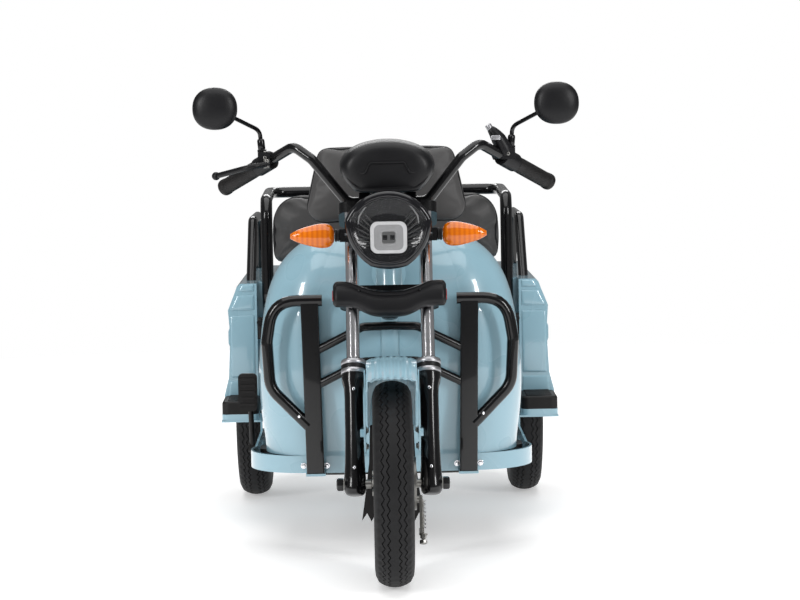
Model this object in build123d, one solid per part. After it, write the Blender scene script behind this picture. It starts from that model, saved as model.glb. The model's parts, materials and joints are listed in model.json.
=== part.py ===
from build123d import *
import os
from math import cos, radians, sin, sqrt, tan

os.makedirs("parts", exist_ok=True)

# Electric cargo tricycle. Millimetres, +Z up, the vehicle faces -Y, +X is its left side.
# The origin is on the ground, in the middle of its length and width.

# Wheels and axles
wheelbase = 1270.0
front_axle_y = -730.0
rear_axle_y = front_axle_y + wheelbase
tyre_radius = 208.0
tyre_width = 80.0
rim_radius = 127.0
rear_track = 672.0
wheel_x = rear_track / 2
front_bore = 6.05
rear_bore = 10.05
running_fit = 0.05

# Steering
rake = 24.0
fork_offset = 45.0
leg_x = 77.0
stanchion_radius = 14.0
leg_radius = 19.0
lower_clamp_s = 395.0
clamp_thickness = 24.0
upper_clamp_s = 582.0
stem_radius = 13.0
head_tube_radius = 24.0
bar_radius = 11.0
grip_radius = 17.0
mirror_x = 362.0
mirror_z = 968.0

# Body
body_half_width = 392.0
shield_thickness = 4.0
shield_y = -398.0
floor_z = 228.0
belt_bottom = 183.0
belt_height = 37.0
belt_half_width = 302.0
seat_base_front = -130.0
seat_base_back = 110.0
seat_base_top = 548.0
seat_half_width = 165.0
seat_thickness = 78.0
tub_front = 200.0
tub_back = 896.0
tub_half_width = 270.0
tub_floor_z = 334.0
tub_top = 553.0
wall = 4.0
footwell_back = 370.0
bench_top = 520.0
gate_gap = 8.0
hinge_fit = 0.05
rail_radius = 14.0
side_rail_radius = 11.5
frame_rail_x = 110.0
frame_rail_z = 190.0
frame_rear_z = tub_floor_z - wall - 13


def save(name, shape):
    export_step(shape, f"parts/{name}.step")


def both_sides(shape):
    return shape + mirror(shape, about=Plane.YZ)


def box_between(low, high):
    """A box from its low corner to its high corner."""
    size = [b - a for a, b in zip(low, high)]
    middle = [(a + b) / 2 for a, b in zip(low, high)]
    return Pos(*middle) * Box(*size)


def rod(start, end, radius):
    """A straight round bar between two points."""
    a = Vector(*start)
    b = Vector(*end)
    return extrude(Plane(origin=a, z_dir=b - a) * Circle(radius), (b - a).length)


def bar(start, end, width, height, across=(1, 0, 0)):
    """A straight rectangular bar, its width along the across direction."""
    a = Vector(*start)
    b = Vector(*end)
    return extrude(Plane(origin=a, x_dir=across, z_dir=b - a) * Rectangle(width, height), (b - a).length)


def bent_path(points, bends):
    """Lines through the points with an arc at each corner, one bend radius or one for each."""
    corners = [Vector(*p) for p in points]
    if not isinstance(bends, tuple):
        bends = (bends,) * (len(points) - 2)
    edges = []
    last = corners[0]
    for before, corner, after, bend in zip(corners, corners[1:], corners[2:], bends):
        into = (corner - before).normalized()
        out = (after - corner).normalized()
        half_turn = radians(into.get_angle(out) / 2)
        reach = bend * tan(half_turn)
        start = corner - into * reach
        end = corner + out * reach
        inward = (out - into).normalized()
        middle = corner + inward * (bend / cos(half_turn) - bend)
        edges.append(Edge.make_line(last, start))
        edges.append(Edge.make_three_point_arc(start, middle, end))
        last = end
    edges.append(Edge.make_line(last, corners[-1]))
    return Wire(edges)


def pipe(points, radius, bends):
    """A round tube through the points."""
    path = bent_path(points, bends)
    direction = Vector(*points[1]) - Vector(*points[0])
    return sweep(Plane(origin=points[0], z_dir=direction) * Circle(radius), path=path)


def on_steering(shape):
    """Places a shape drawn along the steering axis: z up the axis, +y to the rear."""
    origin = (0, front_axle_y + fork_offset * cos(radians(rake)), tyre_radius - fork_offset * sin(radians(rake)))
    axis = (0, sin(radians(rake)), cos(radians(rake)))
    return Plane(origin=origin, x_dir=(1, 0, 0), z_dir=axis) * shape


def across_x(shape, x, y, z):
    """Places a shape drawn around z so that it stands around a sideways axle."""
    return Pos(x, y, z) * Rot(0, 90, 0) * shape


def spun(points):
    """A solid of revolution from (radius, height) points joined by lines."""
    profile = Plane.XZ * make_face(Polyline(*points, close=True))
    return revolve(profile, Axis.Z)


# Wheels, drawn around z and centred on z = 0
def tyre():
    half = tyre_width / 2
    bead = rim_radius + 0.3
    shoulder = tyre_radius - 11
    bulge = (bead + tyre_radius) / 2
    seat = (bead + 10, 30)
    outline = Polyline((bead + 10, -30), (bead, -28), (bead, 28), seat).edges()
    outline += ThreePointArc(seat, (bulge, half), (shoulder, half - 8)).edges()
    outline += ThreePointArc((shoulder, half - 8), (tyre_radius, 0), (shoulder, 8 - half)).edges()
    outline += ThreePointArc((shoulder, 8 - half), (bulge, -half), (bead + 10, -30)).edges()
    return revolve(Plane.XZ * make_face(outline), Axis.Z)


def rim(bore, hub_radius, hub_low, hub_high):
    """A pressed rim with a dished disc, round holes and a hub."""
    barrel = spun([
        (rim_radius + 9, -34), (rim_radius + 9, -30.5), (rim_radius, -28.3), (rim_radius, 28.3),
        (rim_radius + 9, 30.5), (rim_radius + 9, 34), (rim_radius - 4, 31), (rim_radius - 9, 18),
        (rim_radius - 9, -18), (rim_radius - 4, -31),
    ])
    disc = spun([(hub_radius - 2, 4), (rim_radius - 8, -6), (rim_radius - 8, 1), (hub_radius - 2, 12)])
    holes = PolarLocations((hub_radius + rim_radius) / 2 + 2, 8) * Cylinder(13, 60)
    hub = Pos(0, 0, (hub_low + hub_high) / 2) * Cylinder(hub_radius, hub_high - hub_low)
    return barrel + (disc - holes) + hub - Cylinder(bore, 400)


# Steering and front wheel
front_tyre = across_x(tyre(), 0, front_axle_y, tyre_radius)
save("front_tyre", front_tyre)

drum_radius = 62.0
drum_face = 32.0
front_rim = rim(front_bore, 32, -36, 30)
drum = Pos(0, 0, (8 + drum_face) / 2) * Cylinder(drum_radius, drum_face - 8)
drum -= Pos(0, 0, 14 + 20) * Cylinder(drum_radius - 6, 40)
hub_core = Pos(0, 0, 8) * Cylinder(20, 36)
front_rim = front_rim - Pos(0, 0, 14 + 20) * Cylinder(drum_radius - 6, 40) + drum + hub_core
front_rim -= Cylinder(front_bore, 400)
save("front_rim", across_x(front_rim, 0, front_axle_y, tyre_radius))

spacers = across_x(Pos(0, 0, -51) * Cylinder(9, 14), 0, front_axle_y, tyre_radius)
spacers += across_x(Pos(0, 0, 52.6) * Cylinder(9, 10.8), 0, front_axle_y, tyre_radius)
axle = across_x(Cylinder(front_bore - running_fit, 216), 0, front_axle_y, tyre_radius)
axle += spacers
for side in (-1, 1):
    nut = extrude(RegularPolygon(11, 6), 9)
    axle += across_x(Pos(0, 0, side * 101.2 - 4.5) * nut, 0, front_axle_y, tyre_radius)

plate = Pos(0, 0, 42) * Cylinder(drum_radius - 8, 9) - Cylinder(front_bore, 200)
plate = across_x(plate, 0, front_axle_y, tyre_radius)
plate += box_between((38, front_axle_y + 34, tyre_radius - 12), (46, front_axle_y + 62, tyre_radius + 12))
arm_pivot = (50, front_axle_y - 30, tyre_radius - 28)
plate += rod((38, arm_pivot[1], arm_pivot[2]), (58, arm_pivot[1], arm_pivot[2]), 7)
plate += bar((54, arm_pivot[1] + 2, arm_pivot[2] + 8), (54, arm_pivot[1] - 16, arm_pivot[2] - 68), 5, 14)
plate += rod((50, arm_pivot[1] - 15, arm_pivot[2] - 62), (60, arm_pivot[1] - 15, arm_pivot[2] - 62), 6)
save("front_axle", axle + plate)

leg = Pos(leg_x, -fork_offset, 93) * Cylinder(leg_radius, 230)
leg += Pos(leg_x, -fork_offset, 220) * Cone(leg_radius, 24.5, 24)
leg += Pos(leg_x, -fork_offset - 2, 0) * Box(30, 46, 44)
leg -= Pos(leg_x, -fork_offset, 0) * Rot(0, 90, 0) * Cylinder(front_bore + 0.15, 90)
legs = on_steering(both_sides(leg))
save("fork_legs", legs)

stanchion = Pos(leg_x, -fork_offset, 420) * Cylinder(stanchion_radius, 372)
stanchion += Pos(leg_x, -fork_offset, 237) * Cylinder(25, 9.4)
stanchion += Pos(leg_x, -fork_offset, 256) * Cylinder(25, 10)
stanchion += Pos(leg_x, -fork_offset, 246.4) * Cylinder(23.5, 10)
save("fork_stanchions", on_steering(both_sides(stanchion)))

plate_width = 2 * (leg_x + 26)
clamp_half = Box(plate_width, 92, clamp_thickness)
clamp_half = fillet(clamp_half.edges().filter_by(Axis.Z), 18)
clamps = Pos(0, -20, lower_clamp_s + clamp_thickness / 2) * clamp_half
clamps += Pos(0, -20, upper_clamp_s + clamp_thickness / 2) * clamp_half
for side in (-1, 1):
    clamps -= Pos(side * leg_x, -fork_offset, 500) * Cylinder(stanchion_radius + 0.15, 420)
stem_top = upper_clamp_s + 2
clamps += Pos(0, 0, (lower_clamp_s + stem_top) / 2) * Cylinder(stem_radius, stem_top - lower_clamp_s)
riser = Pos(48, -20, upper_clamp_s + clamp_thickness + 15) * Box(24, 36, 32)
clamps += both_sides(riser)
bar_s = upper_clamp_s + clamp_thickness + 16
clamps -= Pos(0, -20, bar_s) * Rot(0, 90, 0) * Cylinder(bar_radius + 0.2, 240)
lamp_arm = box_between((leg_x - 13, -124, 512), (leg_x + 13, -28, 538))
clamps += both_sides(lamp_arm)
for side in (-1, 1):
    clamps -= Pos(side * leg_x, -fork_offset, 500) * Cylinder(stanchion_radius + 0.15, 420)
clamps = on_steering(clamps)


def at_steering(x, back, s):
    """World point of a place measured on the steering axis."""
    c = cos(radians(rake))
    n = sin(radians(rake))
    y = front_axle_y + fork_offset * c + back * c + s * n
    z = tyre_radius - fork_offset * n - back * n + s * c
    return (x, y, z)


# The moustache-shaped cover in front of the lower clamp
cover_half = 117.0
cover_low = lower_clamp_s - 48
cover_high = lower_clamp_s + 28
outline = Polyline(
    (-cover_half, cover_high - 9), (-cover_half, cover_high - 48), (-70, cover_low + 7), (-42, cover_low),
    (0, cover_low + 11), (42, cover_low), (70, cover_low + 7), (cover_half, cover_high - 48),
    (cover_half, cover_high - 9), (96, cover_high),
).edges()
outline += ThreePointArc((96, cover_high), (0, cover_high - 28), (-96, cover_high)).edges()
outline += Line((-96, cover_high), (-cover_half, cover_high - 9)).edges()
cover_plane = Plane((0, -66, 0), x_dir=(1, 0, 0), z_dir=(0, -1, 0))
cover = extrude(cover_plane * make_face(outline), 24)
cover = fillet(cover.faces().sort_by(Axis.Y)[0].edges(), 7)
save("clamp_cover", on_steering(cover))

# Headlamp: a rounded shield outline, wider at the top
lamp_front = -648.0
lamp_back = -588.0
lamp_low = 636.0
lamp_high = 795.0
lamp_half = 88.0


def lamp_outline(inset):
    w = lamp_half - inset
    top = lamp_high - inset
    low = lamp_low + inset
    shoulder = (low + top) / 2 + 22
    path = ThreePointArc((-w, shoulder), (0, top), (w, shoulder)).edges()
    path += ThreePointArc((w, shoulder), (w - 9, shoulder - 46), (w * 0.42, low + 6)).edges()
    path += ThreePointArc((w * 0.42, low + 6), (0, low), (-w * 0.42, low + 6)).edges()
    path += ThreePointArc((-w * 0.42, low + 6), (9 - w, shoulder - 46), (-w, shoulder)).edges()
    return make_face(path)


facing = Plane((0, lamp_back, 0), x_dir=(1, 0, 0), z_dir=(0, -1, 0))
housing = extrude(facing * lamp_outline(0), lamp_back - lamp_front)
housing = fillet(housing.faces().sort_by(Axis.Y)[0].edges(), 8)
housing += Pos(0, lamp_back + 12, 716) * Box(116, 26, 84)
recess = extrude(Plane((0, lamp_front - 1, 0), x_dir=(1, 0, 0), z_dir=(0, -1, 0)) * lamp_outline(9), -21)
housing -= recess
housing -= clamps

lens_plane = Plane((0, lamp_front + 4, 0), x_dir=(1, 0, 0), z_dir=(0, -1, 0))
lens = extrude(lens_plane * lamp_outline(9.3), 5)
save("headlamp_lens", lens)

projector_plane = Plane((0, lamp_front + 19.9, 700), x_dir=(1, 0, 0), z_dir=(0, -1, 0))
projector = extrude(projector_plane * RectangleRounded(72, 62, 14), 14)
projector -= Pos(0, lamp_front + 6, 700) * Rot(90, 0, 0) * extrude(RectangleRounded(60, 50, 10), 5)
save("headlamp_housing", housing + projector)

# Instrument cowl above the headlamp
cowl_low = 792.0
cowl_rows = [
    # depth, half width, low, high
    (-566.0, 62.0, 836.0, 872.0),
    (-540.0, 92.0, 800.0, 892.0),
    (-490.0, 101.0, 797.0, 899.0),
    (-440.0, 84.0, 812.0, 890.0),
]


def cowl_section(depth, half, low, high):
    middle = (low + high) / 2 - 6
    path = ThreePointArc((-half, middle), (0, high), (half, middle)).edges()
    path += ThreePointArc((half, middle), (0, low), (-half, middle)).edges()
    return Plane((0, depth, 0), x_dir=(1, 0, 0), z_dir=(0, -1, 0)) * make_face(path)


cowl = loft([cowl_section(*row) for row in cowl_rows])
clamps += box_between((-30, -486, 742), (30, -478, 830)) - cowl
save("instrument_cowl", cowl)

# Handlebar, grips and controls
bar_points = [
    at_steering(34, -20, bar_s),
    at_steering(84, -20, bar_s),
    (158, -446, 858),
    (196, -430, 886),
    (352, -262, 797),
]
bar_half = pipe(bar_points, bar_radius, 26)
handlebar = both_sides(bar_half)
handlebar += rod(at_steering(-36, -20, bar_s), at_steering(36, -20, bar_s), bar_radius)
grip_start = Vector(*bar_points[3])
grip_end = Vector(*bar_points[4])
grip_way = (grip_end - grip_start).normalized()
save("handlebar", handlebar)


def along_bar(distance):
    """A point on the right-hand end of the bar, measured back from its tip."""
    point = grip_end - grip_way * distance
    return (point.X, point.Y, point.Z)


grip = rod(along_bar(118), along_bar(-3), grip_radius) - rod(along_bar(130), along_bar(0), bar_radius + 0.2)
save("grips", both_sides(grip))

pod = rod(along_bar(166), along_bar(122), 20)
pod += Pos(*along_bar(146)) * Pos(0, -14, 12) * Box(30, 28, 24)
pod -= rod(along_bar(215), along_bar(90), bar_radius + 0.2)
pods = both_sides(pod)

lever_start = Vector(-along_bar(150)[0], along_bar(150)[1] - 30, along_bar(150)[2] - 2)
lever_points = [
    (lever_start.X + 6, lever_start.Y, lever_start.Z),
    (lever_start.X - 34, lever_start.Y - 26, lever_start.Z - 6),
    (-366, -360, 824),
]
lever = pipe(lever_points, 6, 30)
lever += Pos(-366, -360, 824) * Sphere(9)
save("hand_controls", pods + lever)

# Mirrors
stem_foot = (along_bar(136)[0], along_bar(136)[1] - 4, along_bar(136)[2] + 23)
stem_points = [
    stem_foot,
    (stem_foot[0] + 6, stem_foot[1] - 4, stem_foot[2] + 34),
    (mirror_x - 30, -424, mirror_z - 14),
]
mirror_y = -418.0
shell = scale(Sphere(10), by=(4.6, 1.6, 4.3))
shell = split(shell, Plane((0, 3, 0), z_dir=(0, 1, 0)), keep=Keep.BOTTOM)
shell += Pos(0, 3.6, 0) * Rot(90, 0, 0) * scale(Cylinder(10, 1.4), by=(4.1, 3.8, 1))
shell = Pos(mirror_x, mirror_y, mirror_z) * shell
save("mirrors", both_sides(shell))

stem = pipe(stem_points, 5, 16) + rod(stem_points[0], stem_points[1], 8)
stem = stem - shell - pod
save("mirror_stems", both_sides(stem))

# Turn signals
signal_z = 702.0
signal_y = -560.0
signal_rows = [(112.0, 10.0, 9.0), (122.0, 23.0, 19.0), (142.0, 25.0, 20.0), (180.0, 16.0, 13.0), (203.0, 5.0, 5.0)]
signal = loft([
    Plane((x, signal_y, signal_z), x_dir=(0, 1, 0), z_dir=(1, 0, 0)) * Ellipse(deep, tall)
    for x, tall, deep in signal_rows
])
save("turn_signals", both_sides(signal))
signal_stem = rod((100, signal_y, signal_z), (111.7, signal_y, signal_z), 7)
signal_stem += bar((leg_x, signal_y, signal_z), (101, signal_y, signal_z), 20, 26, across=(0, 1, 0))
signal_stem += box_between((leg_x - 12, signal_y - 1, signal_z - 14), (leg_x + 12, signal_y + 44, signal_z + 14))
clamps += both_sides(signal_stem) - on_steering(
    both_sides(Pos(leg_x, -fork_offset, 500) * Cylinder(stanchion_radius + 0.2, 420))
)
save("steering_clamps", clamps)

# Front fender and mudflap
fender_inner = 247.0
fender_rows = [
    # angle forward of straight up, half width, drop of the side
    (34.0, 48.0, 16.0),
    (5.0, 46.0, 30.0),
    (-30.0, 46.0, 34.0),
    (-66.0, 46.0, 26.0),
]
fender_ring = spun([
    (fender_inner, -48), (fender_inner, 48), (fender_inner - 22, 48), (fender_inner - 22, 51),
    (fender_inner + 3, 51), (fender_inner + 9, 34), (fender_inner + 11, 0), (fender_inner + 9, -34),
    (fender_inner + 3, -51), (fender_inner - 22, -51), (fender_inner - 22, -48),
])
fender_ring = across_x(fender_ring, 0, front_axle_y, tyre_radius)
wedge = Polyline(
    (front_axle_y, tyre_radius), (front_axle_y - 400 * sin(radians(34)), tyre_radius + 400 * cos(radians(34))),
    (front_axle_y, tyre_radius + 460), (front_axle_y + 420, tyre_radius + 300),
    (front_axle_y + 400 * sin(radians(70)), tyre_radius + 400 * cos(radians(70))), close=True,
)
wedge = extrude(Plane.YZ * make_face(wedge), 60, both=True)
fender = fender_ring & wedge
stay = box_between((53, front_axle_y - 14, 270), (55.5, front_axle_y + 14, 440))
stay += box_between((55, front_axle_y + 20, 300), (62, front_axle_y + 60, 316)) - legs
stay += box_between((53, front_axle_y - 14, 296), (55.5, front_axle_y + 60, 320))
fender += both_sides(stay) + both_sides(box_between((49, front_axle_y - 14, 430), (55, front_axle_y + 14, 440)))
save("front_fender", fender)

flap_profile = Polyline(
    (-46, 206), (46, 206), (36, 0), (23, 13), (11, 0), (0, 13), (-11, 0), (-23, 13), (-36, 0), close=True,
)
flap = extrude(Plane((0, -496, 98), x_dir=(1, 0, 0), z_dir=(0, -1, 0.03)) * make_face(flap_profile), 3)
save("mudflap", flap - fender)

# Chassis
head = Pos(0, 0, (lower_clamp_s + clamp_thickness + 6 + upper_clamp_s - 6) / 2) * Cylinder(
    head_tube_radius, upper_clamp_s - lower_clamp_s - clamp_thickness - 12
)
head -= Cylinder(stem_radius + running_fit, 1800)
neck = pipe([at_steering(0, 18, 470), (0, -345, 600), (0, -345, frame_rail_z)], 21, 60)
neck -= on_steering(Cylinder(stem_radius + running_fit, 1800))
frame = on_steering(head) + neck
kick_front = 384.0
kick_back = 450.0
for side in (-1, 1):
    x = side * frame_rail_x
    frame += box_between((x - 20, -380, frame_rail_z - 13), (x + 20, kick_front + 6, frame_rail_z + 13))
    frame += bar((x, kick_front, frame_rail_z), (x, kick_back, frame_rear_z), 40, 26)
    frame += box_between((x - 20, kick_back - 10, frame_rear_z - 13), (x + 20, tub_back, frame_rear_z + 13))
for y, half, z in (
    (-365, 170, frame_rail_z), (-140, 230, frame_rail_z), (90, 260, frame_rail_z), (388, 215, frame_rail_z),
    (rear_axle_y, 262, frame_rear_z), (700, 262, frame_rear_z), (882, 262, frame_rear_z),
):
    frame += box_between((-half, y - 14, z - 13), (half, y + 14, z + 13))
bumper_z = 270.0
frame += pipe([
    (-150, tub_back - 6, bumper_z), (-150, 925, bumper_z), (150, 925, bumper_z), (150, tub_back - 6, bumper_z),
], 13, 22)
frame += both_sides(box_between((138, 878, bumper_z - 8), (162, 892, frame_rear_z)))

# Front guard
post_y = -426.0
guard = bar((163, post_y, 180), (170, post_y, 556), 38, 22)
guard -= box_between((100, -500, 100), (300, -300, belt_bottom + 5.2))
guard += pipe([
    (143, post_y - 16, 558), (248, post_y - 16, 558), (262, post_y - 8, 470), (257, post_y - 4, 372),
    (172, post_y - 14, 288),
], 12.5, 62)
guard += pipe([(0, post_y - 20, 503), (58, post_y - 20, 501), (170, post_y - 4, 446)], 9.5, 30)
guard += pipe([(0, post_y - 20, 429), (58, post_y - 20, 427), (170, post_y - 4, 370)], 9.5, 30)
guard = both_sides(guard)
guard += box_between((-17, post_y - 24, 429), (17, post_y - 12, 503))
save("front_guard", guard)

# Leg shield: sections of a front arc, corner arcs and a straight back
shield_rows = [
    # height, half width, front, back edge
    (220.3, 266.0, -398.0, -232.0),
    (340.0, 277.0, -410.0, -236.0),
    (450.0, 274.0, -414.0, -238.0),
    (545.0, 261.0, -408.0, -240.0),
    (622.0, 233.0, -388.0, -244.0),
    (668.0, 192.0, -360.0, -250.0),
    (694.0, 126.0, -330.0, -262.0),
]


def shield_section(z, half, front, back, inset=0.0, open_back=0.0):
    w = half - inset
    f = front + inset
    corner = w * 0.60
    path = ThreePointArc((-corner, f + 7), (0, f), (corner, f + 7)).edges()
    bulge = (w - 0.16 * (w - corner), f + 0.30 * (back - f))
    path += ThreePointArc((corner, f + 7), bulge, (w, back + open_back)).edges()
    path += Line((w, back + open_back), (-w, back + open_back)).edges()
    path += ThreePointArc((-w, back + open_back), (-bulge[0], bulge[1]), (-corner, f + 7)).edges()
    return Pos(0, 0, z) * make_face(path)


def shield_body(inset, open_back, low, high):
    rows = list(shield_rows)
    sections = []
    for n, (z, half, front, back) in enumerate(rows):
        if n == 0:
            z -= low
        if n == len(rows) - 1:
            z -= high
        sections.append(shield_section(z, half, front, back, inset, open_back))
    return loft(sections)


shield = shield_body(0, 0, 0, 0) - shield_body(shield_thickness, 30, 20, shield_thickness)
shield -= pipe([at_steering(0, 18, 470), (0, -345, 600), (0, -345, 100)], 30, 60)
save("leg_shield", shield)

inner = loft([
    Pos(0, (row[3] + row[3] + 14) / 2 + 0.3, row[0]) * Rectangle(2 * (row[1] + 3), 14) for row in shield_rows
])
inner += box_between((-262, -232, floor_z - 19.8), (262, -218, 226))
inner -= shield_body(-0.1, 0, 0, 0)
inner -= pipe([at_steering(0, 18, 470), (0, -345, 600), (0, -345, 100)], 22, 60)
save("inner_shield", inner)

# Floor
belt_front = shield_y + 4


def floor_outline(half, front, back, corner):
    path = ThreePointArc((corner - half, front + 6), (0, front), (half - corner, front + 6)).edges()
    middle = (half - 0.22 * corner, front + 0.30 * 170)
    path += ThreePointArc((half - corner, front + 6), middle, (half, front + 176)).edges()
    path += Line((half, front + 176), (half, back)).edges()
    path += Line((half, back), (-half, back)).edges()
    path += Line((-half, back), (-half, front + 176)).edges()
    path += ThreePointArc((-half, front + 176), (-middle[0], middle[1]), (corner - half, front + 6)).edges()
    return make_face(path)


belt_back = tub_front - 6
belt = extrude(Pos(0, 0, belt_bottom) * floor_outline(belt_half_width, belt_front, belt_back, 110), belt_height)
belt -= extrude(
    Pos(0, 0, belt_bottom - 1) * floor_outline(belt_half_width - 5, belt_front + 5, belt_back + 20, 106),
    belt_height + 2,
)
tab = box_between((142, post_y - 14, belt_bottom), (184, belt_front + 12, belt_bottom + 5))
belt += both_sides(tab)

pan = extrude(Pos(0, 0, frame_rail_z + 13) * floor_outline(belt_half_width - 5, belt_front + 5, belt_back, 106), 5)
pan -= Pos(0, -345, 200) * Cylinder(21.3, 200)
save("floor_pan", pan)

mats = box_between((-292, -214, floor_z - 20), (292, seat_base_front - 3, floor_z - 15))
mats += box_between((-262, seat_base_back + 4, floor_z - 20), (262, tub_front - 4, floor_z - 15))
mats = fillet(mats.edges().filter_by(Axis.Z), 18)
mats -= both_sides(Pos(80, 136, floor_z) * Cylinder(11, 60))

step_low = 240.0
step_front = 60.0
belt += both_sides(box_between((belt_half_width - 3, step_front, step_low), (body_half_width, tub_front - 0.2, step_low + 4)))
belt += both_sides(box_between((belt_half_width - 5, step_front, 200), (belt_half_width, tub_front - 8, step_low + 1)))
save("floor_belt", belt)
step_pad = box_between((belt_half_width + 4, step_front + 2, step_low + 4), (body_half_width - 1, tub_front - 3, 288))
step_pad = fillet(step_pad.edges().filter_by(Axis.Z), 16)
step_pad = fillet(step_pad.faces().sort_by(Axis.Z)[-1].edges(), 6)
save("rubber_mats", mats + both_sides(step_pad))

# Driver's seat on its battery box
base = box_between((-150, seat_base_front, 208), (150, seat_base_back, seat_base_top))
base = fillet(base.edges().filter_by(Axis.Z), 26)
base -= box_between((-145, seat_base_front + 5, 207), (145, seat_base_back - 5, seat_base_top - 6))
base = fillet(base.faces().sort_by(Axis.Z)[-1].edges(), 5)
seat_pin = 3.5
seat_pin_y = seat_base_front - 9
seat_pin_z = seat_base_top + 1
seat_lug = box_between((40, seat_pin_y - 7, seat_base_top - 40), (46, seat_base_front + 0.1, seat_pin_z + 6))
seat_lug -= across_x(Cylinder(seat_pin + hinge_fit, 30), 43, seat_pin_y, seat_pin_z)
save("seat_base", base + both_sides(seat_lug))

battery = box_between((-110, -95, 208.3), (110, 75, 398))
save("battery_block", battery)

seat_bottom = seat_base_top + 6
seat = box_between((-seat_half_width, -148, seat_bottom), (seat_half_width, 96, seat_bottom + seat_thickness))
seat = fillet(seat.edges().filter_by(Axis.Z), 60)
seat = fillet(seat.faces().sort_by(Axis.Z)[-1].edges(), 24)
seat -= both_sides(box_between((34, -160, seat_bottom - 1), (52, seat_base_front + 10, seat_pin_z + 13)))
seat += both_sides(box_between((18, seat_pin_y - 5, seat_pin_z - 2), (30, seat_pin_y + 5, seat_bottom + 1)))
seat += rod((-50, seat_pin_y, seat_pin_z), (50, seat_pin_y, seat_pin_z), seat_pin)
save("driver_seat", seat)

backrest_y = 122.0
back_outline = Polyline((-162, 176), (-190, 34), (-168, 0), (168, 0), (190, 34), (162, 176), close=True)
rest = extrude(Plane((0, backrest_y, 696), x_dir=(1, 0, 0), z_dir=(0, -1, 0)) * make_face(back_outline), 46)
rest = fillet(rest.edges().filter_by(Axis.Y), 22)
rest = fillet(rest.faces().sort_by(Axis.Y)[0].edges(), 16)
save("driver_backrest", rest)
post = rod((80, 136, 209), (80, 136, 800), 10)
post += box_between((68, seat_base_back + 0.2, 500), (92, 137, 520))
post += box_between((68, seat_base_back + 0.2, 260), (92, 137, 280))
post += box_between((68, backrest_y + 0.3, 740), (92, 127, 790))
save("chassis_frame", frame + both_sides(post))

# Cargo tub with its footwell, gate and bench
tub = box_between((-tub_half_width, tub_front, 209), (tub_half_width, tub_back, tub_top))
tub -= box_between((-tub_half_width + wall, tub_front - 9, 213), (tub_half_width - wall, footwell_back - wall, 700))
tub -= box_between((-tub_half_width + wall, footwell_back, tub_floor_z), (tub_half_width - wall, 1000, 700))
tub -= box_between((-300, footwell_back, 100), (300, 1000, tub_floor_z - wall))
bench_low = bench_top - 46
lip = box_between((tub_half_width - wall - 20, footwell_back, bench_low - 4), (tub_half_width - wall, 680, bench_low))
tub += both_sides(lip)
tub -= box_between((wall - tub_half_width, footwell_back - 10, bench_low), (tub_half_width - wall, 400, 700))
for x in (-120, 120):
    for y in (790, 860):
        tub -= Pos(x, y, tub_floor_z) * Cylinder(4.5, 20)

gate_y = tub_back + gate_gap
gate_depth = 18.0
pin_y = gate_y + gate_depth / 2
pin_z = tub_floor_z + 2
gate_pin = 6.0
lug = box_between((206, tub_back, pin_z - 16), (214, pin_y + 10, pin_z + 10))
lug -= across_x(Cylinder(gate_pin + hinge_fit, 60), 210, pin_y, pin_z)
save("cargo_tub", tub + both_sides(lug))

gate = box_between((-262, gate_y, pin_z + 3), (262, gate_y + gate_depth, tub_top - 2))
gate -= box_between((-230, gate_y + 12, tub_floor_z + 36), (230, gate_y + 30, tub_top - 36))
gate -= both_sides(box_between((200, gate_y - 1, 300), (220, gate_y + 30, pin_z + 16)))
gate += rod((-230, pin_y, pin_z), (230, pin_y, pin_z), gate_pin)
save("tailgate", gate)

bench = box_between((-256, footwell_back - 20, bench_low + 0.3), (256, 676, bench_top + 36))
bench = fillet(bench.edges().filter_by(Axis.Z), 30)
bench = fillet(bench.faces().sort_by(Axis.Z)[-1].edges(), 20)
save("bench_cushion", bench)

rest_low = 588.0
rest_high = 742.0
rest_half = 292.0
back_panel = Pos(0, 0, (rest_low + rest_high) / 2) * extrude(Plane.XZ * RectangleRounded(2 * rest_half, rest_high - rest_low, 66), 48)
back_panel = fillet(back_panel.faces().sort_by(Axis.Y)[0].edges(), 15)
back_panel = Pos(0, 738, 0) * back_panel
save("passenger_backrest", back_panel)

# Rail around the passenger backrest, running forward to two legs
rail_z = 749.0
rail_x = 284.3
leg_y = 214.0
recess_y = 262.0
rail_points = [
    (0, 762, rail_z), (rail_x + 14, 762, rail_z), (rail_x, leg_y, rail_z), (rail_x, leg_y, 497),
    (rail_x, recess_y - 0.3, 497),
]
rail = both_sides(pipe(rail_points, rail_radius, (44, 44, 30)))
mid_post = rod((200, 762, rail_z), (200, 762, 560), 10)
rear_foot = bar((200, 762, 562), (200, 762, tub_floor_z + 0.2), 20, 20)
rail += both_sides(mid_post) + both_sides(rear_foot)
pads = box_between((190, 738.3, 640), (210, 752, 690))
rail += both_sides(pads)
save("backrest_rail", rail)

# Rear fenders
fender_front = 200.0
fender_back = 884.0
fender_in = tub_half_width
outer_points = [
    (fender_in, 245), (392, 245), (392, 288), (381, 330), (377, 404), (380, 412), (380, 440), (377, 448),
    (380, 490), (363, 532), (358, 546), (350, 553), (fender_in, 553),
]
fender_solid = extrude(Plane((0, fender_front, 0), x_dir=(1, 0, 0), z_dir=(0, -1, 0)) * make_face(
    Polyline(*outer_points, close=True)), -(fender_back - fender_front))
inner_points = [
    (fender_in + 4, 200), (388, 200), (388, 287), (377, 329), (373, 404), (376, 490), (359, 530), (346, 549),
    (fender_in + 4, 549),
]
fender_hollow = extrude(Plane((0, fender_front + 5, 0), x_dir=(1, 0, 0), z_dir=(0, -1, 0)) * make_face(
    Polyline(*inner_points, close=True)), -(fender_back - fender_front - 10))
wheel_gap = 34.0
arch = across_x(Cylinder(tyre_radius + wheel_gap, 300), 400, rear_axle_y, tyre_radius)
rear_fender = fender_solid - fender_hollow - arch
rear_fender -= box_between((fender_in - 1, fender_front - 1, 200), (311, recess_y, 600))
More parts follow.
